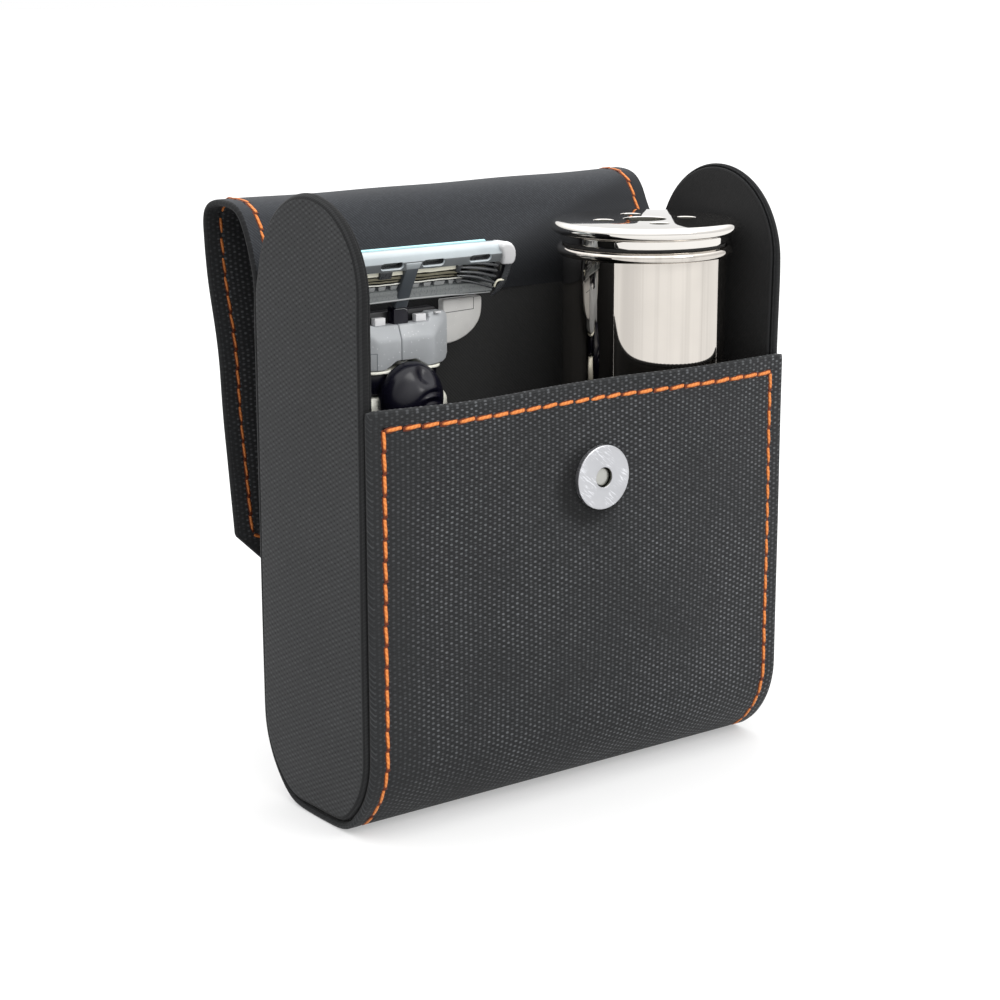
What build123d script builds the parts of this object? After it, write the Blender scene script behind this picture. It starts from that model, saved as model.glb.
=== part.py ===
from build123d import *
import math
import os

os.makedirs("parts", exist_ok=True)

# ---------------------------------------------------------------------------
# Soft case for a razor and a brush canister.  Millimetres, +Z up, +X to the
# right of the front pocket, -Y towards the front.  Origin: middle of the flat
# strip on which the rounded bottom stands.
# ---------------------------------------------------------------------------
W = 85.0            # width of the fabric strip
R_OUT = 16.3        # half depth of the case, outside of the strip
FLAT = 7.0          # half width of the flattened strip under the rounded bottom
ZC = math.sqrt(R_OUT**2 - FLAT**2)      # centre height of the bottom radius
T_SHELL, T_STIFF, T_LINE = 0.5, 0.3, 0.3
R_STIFF = R_OUT - T_SHELL
R_LINE = R_STIFF - T_STIFF
R_IN = R_LINE - T_LINE
Z_MOUTH = 69.4      # top edge of the front pocket
Z_BACK = 84.5       # top edge of the back wall, where the flap starts

# side walls
G_OUT = 42.5        # outer face
G_NYLON, G_BOARD, G_LINE = 0.6, 1.0, 0.6
G_IN = G_OUT - G_NYLON - G_BOARD - G_LINE
R_FREE = 14.75      # half width of the free upper part
Z_TOP = 100.2       # highest point of a side wall

# flap: a chain of strips from the back wall to the free end, middle of the
# fabric in the YZ plane; angles from +Z towards +Y, open and closed
FLAP_T = 1.1
FLAP_GAP = 0.75
FLAP_START = (15.75, 84.9)
FLAP_LEN = [11.55, 9.5, 15.2, 15.46, 44.6]
FLAP_OPEN = [29, 90, 189.3, 185.2, 188]
FLAP_SHUT = [1, -54, -96, -124, -180]
FLAP_CORNER = 22.0  # cut across the two free corners
SNAP_ALONG = 38.43  # snap centre along the last strip

# snap on the pocket
SNAP_X, SNAP_Z = 2.2, 53.37
SNAP_R = 5.5
SNAP_H = 1.4

# stitching
ST_X, ST_Z = 39.6, 66.4
ST_W, ST_T = 0.7, 0.35

# razor
RX = -19.3          # middle of the razor across the case
HY = 9.8            # axis of the handle
# brush canister
CX, CY = 24.0, -1.0
C_R, C_WALL = 13.9, 0.9
C_Z0 = 9.6
C_RING_R = 14.95
CAP_R = 15.95
CAP_Z = 92.2


def save(part, name):
    part.label = name
    export_step(part, f"parts/{name}.step")


def half_arc_points(r, z_low):
    """Start, middle and end of the front arc of radius r about (0, ZC) that
    runs down from (-r, ZC) to the flat at z_low."""
    f = math.sqrt(r**2 - (ZC - z_low) ** 2)
    a = math.atan2(ZC - z_low, f)
    m = a / 2
    return (-r, ZC), (-r * math.cos(m), ZC - r * math.sin(m)), (-f, z_low)


def u_wire(ro, zo, ri, zi, front_top, back_top):
    """Closed outline of the U-shaped band between two rounded outlines."""
    a, b, c = half_arc_points(ro, zo)
    d, e, f = half_arc_points(ri, zi)
    flip = lambda p: (-p[0], p[1])
    Line((-ro, front_top), a)
    ThreePointArc(a, b, c)
    Line(c, flip(c))
    ThreePointArc(flip(c), flip(b), flip(a))
    Line(flip(a), (ro, back_top))
    Line((ro, back_top), (ri, back_top))
    Line((ri, back_top), flip(d))
    ThreePointArc(flip(d), flip(e), flip(f))
    Line(flip(f), f)
    ThreePointArc(f, e, d)
    Line(d, (-ri, front_top))
    Line((-ri, front_top), (-ro, front_top))


# ------------------------------------------------------------ fabric strip
with BuildPart() as outer_shell:
    with BuildSketch(Plane.YZ):
        with BuildLine():
            u_wire(R_OUT, 0.0, R_STIFF, T_SHELL, Z_MOUTH, Z_BACK)
        make_face()
    extrude(amount=W / 2, both=True)
    with BuildSketch(Plane.XZ.offset(R_STIFF - 1)):
        with Locations((SNAP_X, SNAP_Z)):
            Circle(1.15)
    extrude(amount=3, mode=Mode.SUBTRACT)
save(outer_shell.part, "outer_shell")

with BuildPart() as shell_stiffener:
    with BuildSketch(Plane.YZ):
        with BuildLine():
            u_wire(R_STIFF, T_SHELL, R_LINE, T_SHELL + T_STIFF, Z_MOUTH - 0.6, Z_BACK - 0.6)
        make_face()
    extrude(amount=G_OUT, both=True)
    with BuildSketch(Plane.XZ.offset(R_LINE - 1)):
        with Locations((SNAP_X, SNAP_Z)):
            Circle(6.05)
    extrude(amount=2, mode=Mode.SUBTRACT)
save(shell_stiffener.part, "shell_stiffener")

with BuildPart() as shell_lining:
    with BuildSketch(Plane.YZ):
        with BuildLine():
            u_wire(R_LINE, T_SHELL + T_STIFF, R_IN, T_SHELL + T_STIFF + T_LINE, Z_MOUTH, Z_BACK)
        make_face()
    extrude(amount=G_OUT, both=True)
save(shell_lining.part, "shell_lining")


# -------------------------------------------------------------- side walls
def gusset_wire():
    z_low = T_SHELL + T_STIFF + T_LINE
    zt = Z_TOP - R_FREE
    a, b, c = half_arc_points(R_IN, z_low)
    flip = lambda p: (-p[0], p[1])
    Line(c, flip(c))
    ThreePointArc(flip(c), flip(b), flip(a))
    Line(flip(a), (R_IN, Z_BACK))
    Line((R_IN, Z_BACK), (R_FREE, Z_BACK + 0.5))
    Line((R_FREE, Z_BACK + 0.5), (R_FREE, zt))
    ThreePointArc((R_FREE, zt), (0, Z_TOP), (-R_FREE, zt))
    Line((-R_FREE, zt), (-R_FREE, Z_MOUTH + 0.6))
    Line((-R_FREE, Z_MOUTH + 0.6), (-R_IN, Z_MOUTH))
    Line((-R_IN, Z_MOUTH), a)
    ThreePointArc(a, b, c)


layers = [("outer", G_OUT - G_NYLON, G_NYLON), ("board", G_OUT - G_NYLON - G_BOARD, G_BOARD), ("lining", G_IN, G_LINE)]
for side, s in (("left", -1), ("right", 1)):
    for layer, x0, t in layers:
        start = x0 if s > 0 else -(x0 + t)
        with BuildPart() as gusset_layer:
            with BuildSketch(Plane.YZ.offset(start)):
                with BuildLine():
                    gusset_wire()
                make_face()
            extrude(amount=t)
        save(gusset_layer.part, f"{side}_gusset_{layer}")

# ---------------------------------------------------------------- stitching
PHI = math.radians(52)
with BuildPart() as front_stitching:
    for sx in (-1, 1):
        ro, ri = R_OUT + ST_T, R_OUT
        pt = lambda r, a: (-r * math.cos(a), ZC - r * math.sin(a))
        with BuildSketch(Plane.YZ.offset(sx * ST_X - ST_W / 2)):
            with BuildLine():
                Line((-ro, ST_Z), (-ro, ZC))
                ThreePointArc((-ro, ZC), pt(ro, PHI / 2), pt(ro, PHI))
                Line(pt(ro, PHI), pt(ri, PHI))
                ThreePointArc(pt(ri, PHI), pt(ri, PHI / 2), (-ri, ZC))
                Line((-ri, ZC), (-ri, ST_Z))
                Line((-ri, ST_Z), (-ro, ST_Z))
            make_face()
        extrude(amount=ST_W)
    with BuildSketch(Plane.XZ.offset(R_OUT)):
        with Locations((0, ST_Z)):
            Rectangle(2 * ST_X + ST_W, ST_W)
    extrude(amount=ST_T)
save(front_stitching.part, "front_stitching")

# ------------------------------------------------- snap half on the pocket
with BuildPart() as snap_socket_cover:
    with BuildSketch(Plane.XZ.offset(R_OUT)):
        with Locations((SNAP_X, SNAP_Z)):
            Circle(SNAP_R)
    extrude(amount=SNAP_H)
    chamfer(snap_socket_cover.faces().sort_by(Axis.Y)[0].edges(), 0.45)
    with BuildSketch(Plane.XZ.offset(R_OUT)):
        with Locations((SNAP_X, SNAP_Z)):
            Circle(4.8)
            Circle(2.5, mode=Mode.SUBTRACT)
    extrude(amount=SNAP_H - 0.3, mode=Mode.SUBTRACT)
    with BuildSketch(Plane.XZ.offset(R_OUT)):
        with Locations((SNAP_X, SNAP_Z)):
            Circle(2.1)
    extrude(amount=SNAP_H, mode=Mode.SUBTRACT)
save(snap_socket_cover.part, "snap_socket_cover")

with BuildPart() as snap_magnet:
    with BuildSketch(Plane.XZ.offset(R_OUT)):
        with Locations((SNAP_X, SNAP_Z)):
            Circle(4.75)
            Circle(2.55, mode=Mode.SUBTRACT)
    extrude(amount=1.05)
save(snap_magnet.part, "snap_magnet")

with BuildPart() as snap_socket_rivet:
    with BuildSketch(Plane.XZ.offset(R_LINE)):
        with Locations((SNAP_X, SNAP_Z)):
            Circle(1.12)
    extrude(amount=1.4)
    chamfer(snap_socket_rivet.faces().sort_by(Axis.Y)[0].edges(), 0.15)
save(snap_socket_rivet.part, "snap_socket_rivet")

with BuildPart() as snap_socket_washer:
    with BuildSketch(Plane.XZ.offset(R_LINE)):
        with Locations((SNAP_X, SNAP_Z)):
            Circle(6.0)
            Circle(1.12, mode=Mode.SUBTRACT)
    extrude(amount=T_STIFF)
save(snap_socket_washer.part, "snap_socket_washer")


# --------------------------------------------------------------------- flap
def flap_points(angles):
    pts = [FLAP_START]
    for length, a in zip(FLAP_LEN, angles):
        y, z = pts[-1]
        r = math.radians(a)
        pts.append((y + length * math.sin(r), z + length * math.cos(r)))
    return pts


def flap_plane(i):
    """Local X across the case, local Y along strip i, normal to the lining."""
    y, z = flap_points(FLAP_OPEN)[i]
    r = math.radians(FLAP_OPEN[i])
    return Plane(origin=(0, y, z), x_dir=(1, 0, 0), z_dir=(0, -math.cos(r), math.sin(r)))


for i in range(4):
    n = FLAP_LEN[i]
    with BuildPart() as flap_strip:
        with BuildSketch(flap_plane(i)):
            with Locations((0, n / 2)):
                Rectangle(W, n - 2 * FLAP_GAP)
        extrude(amount=FLAP_T / 2, both=True)
    save(flap_strip.part, f"flap_strip_{i + 1}")

L5 = FLAP_LEN[4]
PANEL = flap_plane(4)


def panel_outline(inset):
    """Free end of the flap with its two cut corners, inset from its edges."""
    w = W / 2 - inset
    e = L5 - inset
    c = FLAP_CORNER - inset * (2 - math.sqrt(2))
    return [(-w, FLAP_GAP), (w, FLAP_GAP), (w, e - c), (w - c, e), (-w + c, e), (-w, e - c)]


with BuildPart() as flap_outer_panel:
    with BuildSketch(PANEL.offset(-FLAP_T / 2)):
        Polygon(*panel_outline(0), align=None)
    extrude(amount=0.7)
    fillet(flap_outer_panel.edges().filter_by(Axis((0, 0, 0), PANEL.z_dir)).sort_by(Axis(PANEL.origin, PANEL.y_dir))[2:], 1.5)
save(flap_outer_panel.part, "flap_outer_panel")

with BuildPart() as flap_lining_panel:
    with BuildSketch(PANEL.offset(-FLAP_T / 2 + 0.7)):
        Polygon(*panel_outline(0.4), align=None)
        with Locations((SNAP_X, SNAP_ALONG)):
            Circle(6.05, mode=Mode.SUBTRACT)
    extrude(amount=0.4)
save(flap_lining_panel.part, "flap_lining_panel")

with BuildPart() as flap_stitching:
    with BuildSketch(PANEL.offset(-FLAP_T / 2)):
        Polygon(*panel_outline(2.75), align=None)
        Polygon(*panel_outline(2.75 + ST_W), align=None, mode=Mode.SUBTRACT)
    extrude(amount=-ST_T)
save(flap_stitching.part, "flap_stitching")

with BuildPart() as snap_stud_washer:
    with BuildSketch(PANEL.offset(-FLAP_T / 2 + 0.7)):
        with Locations((SNAP_X, SNAP_ALONG)):
            Circle(6.0)
    extrude(amount=0.4)
save(snap_stud_washer.part, "snap_stud_washer")

with BuildPart() as snap_stud_plate:
    with BuildSketch(PANEL.offset(FLAP_T / 2)):
        with Locations((SNAP_X, SNAP_ALONG)):
            Circle(SNAP_R)
    extrude(amount=1.2)
    chamfer(snap_stud_plate.faces().sort_by(Axis(PANEL.origin, PANEL.z_dir))[-1].edges(), 0.4)
    with BuildSketch(PANEL.offset(FLAP_T / 2 + 1.2)):
        with Locations((SNAP_X, SNAP_ALONG)):
            Circle(1.5)
    extrude(amount=0.8)
save(snap_stud_plate.part, "snap_stud_plate")

# -------------------------------------------------------------------- razor
with BuildPart() as razor_handle:
    with BuildSketch(Plane.XY.offset(12.0)):
        with Locations((RX, HY)):
            Circle(4.7)
    with BuildSketch(Plane.XY.offset(38.0)):
        with Locations((RX, HY)):
            Circle(4.7)
    with BuildSketch(Plane.XY.offset(54.0)):
        with Locations((RX, 10.6)):
            Ellipse(5.9, 4.0)
    with BuildSketch(Plane.XY.offset(66.1)):
        with Locations((RX, 10.9)):
            Ellipse(7.9, 3.5)
    loft(ruled=True)
    # guide for the stem of the release button, open to the front
    with BuildSketch(Plane.XY.offset(61.4)):
        with Locations((RX, 8.4)):
            Rectangle(4.2, 4.8)
    extrude(amount=5, mode=Mode.SUBTRACT)
    # grip grooves
    for zg in (20, 24, 28, 32):
        with BuildSketch(Plane.XY.offset(zg)):
            with Locations((RX, HY)):
                Circle(6)
                Circle(4.3, mode=Mode.SUBTRACT)
        extrude(amount=1.2, mode=Mode.SUBTRACT)
save(razor_handle.part, "razor_handle")

with BuildPart() as handle_end_cap:
    with BuildSketch(Plane.XZ.offset(-HY)):
        with BuildLine():
            Line((RX, 12.0), (RX + 4.7, 12.0))
            ThreePointArc((RX + 4.7, 12.0), (RX + 4.7 * math.cos(math.pi / 4), 12.0 - 4.7 * math.sin(math.pi / 4)), (RX, 7.3))
            Line((RX, 7.3), (RX, 12.0))
        make_face()
    revolve(axis=Axis((RX, HY, 0), (0, 0, 1)))
save(handle_end_cap.part, "handle_end_cap")

with BuildPart() as neck_housing:
    with BuildSketch(Plane.XY.offset(66.1)):
        with Locations((RX, 10.8)):
            RectangleRounded(15.2, 6.8, 2.0)
    extrude(amount=3.8)
    with BuildSketch(Plane.XY.offset(66.1)):
        with Locations((RX, 9.4)):
            Rectangle(4.2, 2.8)
    extrude(amount=2.5, mode=Mode.SUBTRACT)
save(neck_housing.part, "neck_housing")

with BuildPart() as neck_plate:
    with BuildSketch(Plane.XY.offset(69.9)):
        with Locations((RX, 10.7)):
            RectangleRounded(17.2, 7.0, 2.2)
    extrude(amount=0.5)
save(neck_plate.part, "neck_plate")

with BuildPart() as release_button:
    with BuildSketch(Plane.XZ.offset(-6.4)):
        with Locations((RX, 65.1)):
            Circle(5.9)
    extrude(amount=4.4)
    fillet(release_button.faces().sort_by(Axis.Y)[0].edges(), 4.1)
    with BuildSketch(Plane.XZ.offset(-10.4)):
        with Locations((RX, 63.0)):
            Rectangle(3.6, 2.0)
    extrude(amount=4.1)
save(release_button.part, "release_button")


def spring(x, y, z0, z1, r, wire, turns):
    """Compression spring about a vertical axis, between two heights."""
    h = z1 - z0 - wire
    helix = Helix(pitch=h / turns, height=h, radius=r, center=(x, y, z0 + wire / 2))
    return helix


with BuildPart() as button_spring:
    with BuildLine() as coil_path:
        spring(RX, 9.4, 64.1, 68.5, 1.2, 0.3, 5)
    with BuildSketch(Plane(origin=coil_path.line @ 0, z_dir=coil_path.line % 0)):
        Circle(0.15)
    sweep(is_frenet=True)
save(button_spring.part, "button_spring")

with BuildPart() as cartridge_connector:
    with BuildSketch(Plane.XY.offset(70.4)):
        with Locations((RX, 9.95)):
            RectangleRounded(18.6, 6.1, 1.2)
    extrude(amount=8.6)
    # lowered middle of the top edge, where the back arm and plunger work
    with BuildSketch(Plane.XZ.offset(-14)):
        with BuildLine():
            Polyline((RX - 6.4, 79.2), (RX - 5.5, 78.2), (RX + 5.5, 78.2), (RX + 6.4, 79.2), close=True)
        make_face()
    extrude(amount=8, mode=Mode.SUBTRACT)
    # bore of the plunger
    with BuildSketch(Plane.XY.offset(70.4)):
        with Locations((RX, 8.9)):
            Rectangle(3.2, 2.8)
    extrude(amount=9, mode=Mode.SUBTRACT)
save(cartridge_connector.part, "cartridge_connector")

with BuildPart() as connector_wings:
    for s in (-1, 1):
        with BuildSketch(Plane.XZ.offset(-10.8)):
            with BuildLine():
                x0 = RX + s * 9.3
                Line((x0, 72.0), (x0, 80.0))
                Line((x0, 80.0), (x0 + s * 7.6, 80.0))
                ThreePointArc((x0 + s * 7.6, 80.0), (x0 + s * 5.75, 74.75), (x0, 72.0))
            make_face()
        extrude(amount=1.6)
save(connector_wings.part, "connector_wings")

with BuildPart() as plunger:
    with BuildSketch(Plane.XY.offset(74.0)):
        with Locations((RX, 8.9)):
            Rectangle(2.6, 2.2)
    extrude(amount=6.1)
save(plunger.part, "plunger")

with BuildPart() as plunger_spring:
    with BuildLine() as coil_path2:
        spring(RX, 8.9, 70.45, 73.95, 0.85, 0.24, 5)
    with BuildSketch(Plane(origin=coil_path2.line @ 0, z_dir=coil_path2.line % 0)):
        Circle(0.12)
    sweep(is_frenet=True)
save(plunger_spring.part, "plunger_spring")

# cartridge: local X across, local Y up its back, normal out of its back
TILT = math.radians(22)
BACK = Plane(origin=(RX, 7.4, 80.75), x_dir=(1, 0, 0), z_dir=(0, -math.cos(TILT), -math.sin(TILT)))
CW = 40.4
CH = 9.3
CT = 3.6

with BuildPart() as cartridge_frame:
    with BuildSketch(BACK):
        with Locations((0, CH / 2)):
            RectangleRounded(CW - 3.2, CH, 0.8)
        with Locations((0, 3.55)):
            Rectangle(CW - 7.0, 5.1, mode=Mode.SUBTRACT)
    extrude(amount=-CT)
    with BuildSketch(BACK):
        with Locations(*[(sx * (3.85 + 9.25 * n), 7.0) for sx in (-1, 1) for n in (0, 1)]):
            SlotOverall(3.8, 1.0)
    extrude(amount=-CT, mode=Mode.SUBTRACT)
    # seats of the lubricating strip and of the guard, in the shaving face
    with BuildSketch(BACK.offset(-CT)):
        with Locations((0, 8.3)):
            Rectangle(CW - 5.4, 1.2)
        with Locations((0, 0.5)):
            Rectangle(CW - 5.4, 1.0)
    extrude(amount=0.8, mode=Mode.SUBTRACT)
save(cartridge_frame.part, "cartridge_frame")

with BuildPart() as cartridge_end_caps:
    for s in (-1, 1):
        with BuildSketch(BACK.offset(0.4)):
            with Locations((s * (CW / 2 - 0.8), CH / 2)):
                RectangleRounded(1.6, CH, 0.7)
        extrude(amount=-(CT + 0.8))
save(cartridge_end_caps.part, "cartridge_end_caps")

with BuildPart() as back_arm:
    with BuildSketch(BACK):
        with BuildLine():
            Polyline((-1.5, 8.6), (1.5, 8.6), (1.3, 0.1), (-1.3, 0.1), close=True)
        make_face()
    extrude(amount=0.9)
save(back_arm.part, "back_arm")

for name, up in (("upper_blade", 5.0), ("middle_blade", 3.3), ("lower_blade", 1.6)):
    with BuildPart() as blade:
        with BuildSketch(BACK.offset(-2.9)):
            with Locations((0, up)):
                Rectangle(CW - 7.0, 1.1)
        extrude(amount=0.35)
    save(blade.part, name)

with BuildPart() as lubricating_strip:
    with BuildSketch(BACK.offset(-CT)):
        with Locations((0, 8.3)):
            Rectangle(CW - 5.4, 1.2)
    extrude(amount=0.8)
save(lubricating_strip.part, "lubricating_strip")

with BuildPart() as guard_bar:
    with BuildSketch(BACK.offset(-CT)):
        with Locations((0, 0.5)):
            Rectangle(CW - 5.4, 1.0)
    extrude(amount=0.8)
save(guard_bar.part, "guard_bar")

# ----------------------------------------------------------- brush canister
C_TOP = 88.1
with BuildPart() as canister_tube:
    with BuildSketch(Plane.XY.offset(C_Z0)):
        with Locations((CX, CY)):
            Circle(C_R)
    extrude(amount=C_TOP - C_Z0)
    fillet(canister_tube.faces().sort_by(Axis.Z)[0].edges(), 3.0)
    with BuildSketch(Plane.XY.offset(C_Z0 + 1.2)):
        with Locations((CX, CY)):
            Circle(C_R - C_WALL)
    extrude(amount=C_TOP, mode=Mode.SUBTRACT)
save(canister_tube.part, "canister_tube")

with BuildPart() as canister_ring:
    with BuildSketch(Plane.XY.offset(86.0)):
        with Locations((CX, CY)):
            Circle(C_RING_R)
            Circle(C_R, mode=Mode.SUBTRACT)
    extrude(amount=2.1)
    fillet(canister_ring.edges().filter_by(GeomType.CIRCLE).group_by(SortBy.RADIUS)[-1], 0.6)
save(canister_ring.part, "canister_ring")

with BuildPart() as cap_seal_ring:
    with BuildSketch(Plane.XY.offset(88.12)):
        with Locations((CX, CY)):
            Circle(13.7)
            Circle(12.9, mode=Mode.SUBTRACT)
    extrude(amount=0.5)
save(cap_seal_ring.part, "cap_seal_ring")

with BuildPart() as vented_cap:
    with BuildSketch(Plane.XZ.offset(-CY)):
        with BuildLine():
            Polyline(
                (CX, CAP_Z - 1.2), (CX, CAP_Z), (CX + CAP_R, CAP_Z), (CX + CAP_R, CAP_Z - 2.4), (CX + 14.35, CAP_Z - 2.4),
                (CX + 14.35, 88.64), (CX + 12.7, 88.64), (CX + 12.7, 82.0), (CX + 11.5, 82.0), (CX + 11.5, CAP_Z - 1.2),
                close=True,
            )
        make_face()
    revolve(axis=Axis((CX, CY, 0), (0, 0, 1)))
    rim = vented_cap.edges().filter_by(GeomType.CIRCLE).filter_by(lambda e: abs(e.radius - CAP_R) < 1e-3)
    fillet(rim, 1.0)
    with BuildSketch(Plane.XY.offset(CAP_Z - 3)):
        with Locations((CX, CY)):
            Circle(3.6)
            with PolarLocations(7.35, 4, start_angle=-21):
                Circle(1.65)
    extrude(amount=4, mode=Mode.SUBTRACT)
save(vented_cap.part, "vented_cap")

with BuildPart() as brush_base:
    with BuildSketch(Plane.XY.offset(C_Z0 + 1.2)):
        with Locations((CX, CY)):
            Circle(C_R - C_WALL)
    extrude(amount=5.5)
save(brush_base.part, "brush_base")

with BuildPart() as brush_knot:
    with BuildSketch(Plane.XZ.offset(-CY)):
        with BuildLine():
            z = C_Z0 + 6.7
            Line((CX, z), (CX + 9.4, z))
            Line((CX + 9.4, z), (CX + 10.6, 70.0))
            # dome of the tips: an arc whose centre lies on the axis
            zc = (86.6**2 - 70.0**2 - 10.6**2) / (2 * (86.6 - 70.0))
            rd = 86.6 - zc
            am = (math.atan2(70.0 - zc, 10.6) + math.pi / 2) / 2
            ThreePointArc((CX + 10.6, 70.0), (CX + rd * math.cos(am), zc + rd * math.sin(am)), (CX, 86.6))
            Line((CX, 86.6), (CX, z))
        make_face()
    revolve(axis=Axis((CX, CY, 0), (0, 0, 1)))
save(brush_knot.part, "brush_knot")
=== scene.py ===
import math
import random
import bpy
import bmesh
import numpy as np
from mathutils import Vector, Matrix


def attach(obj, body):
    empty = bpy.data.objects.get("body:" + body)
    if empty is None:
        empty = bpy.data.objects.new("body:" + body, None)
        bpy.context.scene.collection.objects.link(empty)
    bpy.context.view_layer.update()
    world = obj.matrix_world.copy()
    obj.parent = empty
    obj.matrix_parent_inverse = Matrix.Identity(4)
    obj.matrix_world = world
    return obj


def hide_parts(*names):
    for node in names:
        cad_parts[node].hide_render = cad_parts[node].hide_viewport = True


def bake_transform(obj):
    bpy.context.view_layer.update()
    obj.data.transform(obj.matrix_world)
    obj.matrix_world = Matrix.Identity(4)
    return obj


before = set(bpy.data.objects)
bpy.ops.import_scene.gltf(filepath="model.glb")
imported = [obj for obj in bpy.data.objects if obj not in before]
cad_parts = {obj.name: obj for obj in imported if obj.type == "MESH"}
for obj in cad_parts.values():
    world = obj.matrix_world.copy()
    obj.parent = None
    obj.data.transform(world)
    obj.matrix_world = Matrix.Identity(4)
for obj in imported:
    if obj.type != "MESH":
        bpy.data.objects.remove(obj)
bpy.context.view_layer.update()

MM = 0.001
rnd = random.Random(11)
scene = bpy.context.scene
scene.view_settings.view_transform = "Standard"
scene.view_settings.look = "None"


# ------------------------------------------------------------------ camera
def place_camera():
    cam = bpy.data.objects.new("camera", bpy.data.cameras.new("camera"))
    scene.collection.objects.link(cam)
    pos = Vector((-218.18, -285.15, 134.0)) * MM
    tgt = Vector((-0.53, 7.1, 45.4)) * MM
    q = (tgt - pos).to_track_quat("-Z", "Y")
    cam.rotation_mode = "QUATERNION"
    cam.location = pos
    cam.rotation_quaternion = q @ Matrix.Rotation(math.radians(-0.11), 3, "Z").to_quaternion()
    cam.data.sensor_width = 36.0
    cam.data.lens = 79.4
    cam.data.clip_start, cam.data.clip_end = 0.01, 10.0
    cam.data.dof.use_dof = False
    scene.camera = cam


place_camera()


# ------------------------------------------------------------- small tools
def smooth01(t):
    t = min(1.0, max(0.0, t))
    return t * t * (3 - 2 * t)


def bump(x, c, w):
    return math.exp(-(((x - c) / w) ** 2))


class Nodes:
    """Short way to write a material's node tree."""

    def __init__(self, name):
        self.mat = bpy.data.materials.new(name)
        self.mat.use_nodes = True
        self.t = self.mat.node_tree
        self.t.nodes.clear()
        self.out = self.t.nodes.new("ShaderNodeOutputMaterial")
        self.bsdf = self.t.nodes.new("ShaderNodeBsdfPrincipled")
        self.t.links.new(self.bsdf.outputs[0], self.out.inputs["Surface"])

    def put(self, socket, v):
        if isinstance(v, bpy.types.NodeSocket):
            self.t.links.new(v, socket)
        elif v is not None:
            if isinstance(v, (tuple, list)) and len(v) == 3 and len(socket.default_value) == 4:
                v = (*v, 1.0)
            socket.default_value = v

    def set(self, **kw):
        for k, v in kw.items():
            self.put(self.bsdf.inputs[k.replace("_", " ")], v)

    def math(self, op, a, b=None, c=None, clamp=False):
        n = self.t.nodes.new("ShaderNodeMath")
        n.operation, n.use_clamp = op, clamp
        for i, v in enumerate((a, b, c)):
            if v is not None:
                self.put(n.inputs[i], v)
        return n.outputs[0]

    def mix(self, f, a, b):
        n = self.t.nodes.new("ShaderNodeMix")
        n.data_type = "RGBA"
        self.put(n.inputs[0], f)
        self.put(n.inputs[6], a)
        self.put(n.inputs[7], b)
        return n.outputs[2]

    def ramp(self, v, lo, hi, a=0.0, b=1.0):
        n = self.t.nodes.new("ShaderNodeMapRange")
        n.interpolation_type = "SMOOTHSTEP"
        self.put(n.inputs[0], v)
        for i, x in enumerate((lo, hi, a, b)):
            n.inputs[i + 1].default_value = x
        return n.outputs[0]

    def coord(self):
        if not hasattr(self, "_co"):
            self._co = self.t.nodes.new("ShaderNodeTexCoord").outputs["Object"]
        return self._co

    def scaled(self, v, s):
        n = self.t.nodes.new("ShaderNodeVectorMath")
        n.operation = "MULTIPLY"
        self.put(n.inputs[0], v)
        n.inputs[1].default_value = s if isinstance(s, (tuple, list)) else (s, s, s)
        return n.outputs[0]

    def noise(self, scale, detail=2.0, rough=0.5, vec=None, dist=0.0):
        n = self.t.nodes.new("ShaderNodeTexNoise")
        self.put(n.inputs["Vector"], vec if vec is not None else self.coord())
        n.inputs["Scale"].default_value = scale
        n.inputs["Detail"].default_value = detail
        n.inputs["Roughness"].default_value = rough
        n.inputs["Distortion"].default_value = dist
        return n.outputs["Fac"]

    def attr(self, name):
        n = self.t.nodes.new("ShaderNodeAttribute")
        n.attribute_name = name
        return n.outputs["Vector"]

    def xyz(self, v):
        n = self.t.nodes.new("ShaderNodeSeparateXYZ")
        self.put(n.inputs[0], v)
        return n.outputs

    def comb(self, x, y, z=0.0):
        n = self.t.nodes.new("ShaderNodeCombineXYZ")
        for i, v in enumerate((x, y, z)):
            self.put(n.inputs[i], v)
        return n.outputs[0]

    def white(self, v):
        n = self.t.nodes.new("ShaderNodeTexWhiteNoise")
        n.noise_dimensions = "3D"
        self.put(n.inputs["Vector"], v)
        return n.outputs["Value"]

    def bump(self, h, dist, strength=1.0, normal=None):
        n = self.t.nodes.new("ShaderNodeBump")
        n.inputs["Strength"].default_value = strength
        n.inputs["Distance"].default_value = dist
        self.put(n.inputs["Height"], h)
        if normal is not None:
            self.put(n.inputs["Normal"], normal)
        return n.outputs[0]


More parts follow.
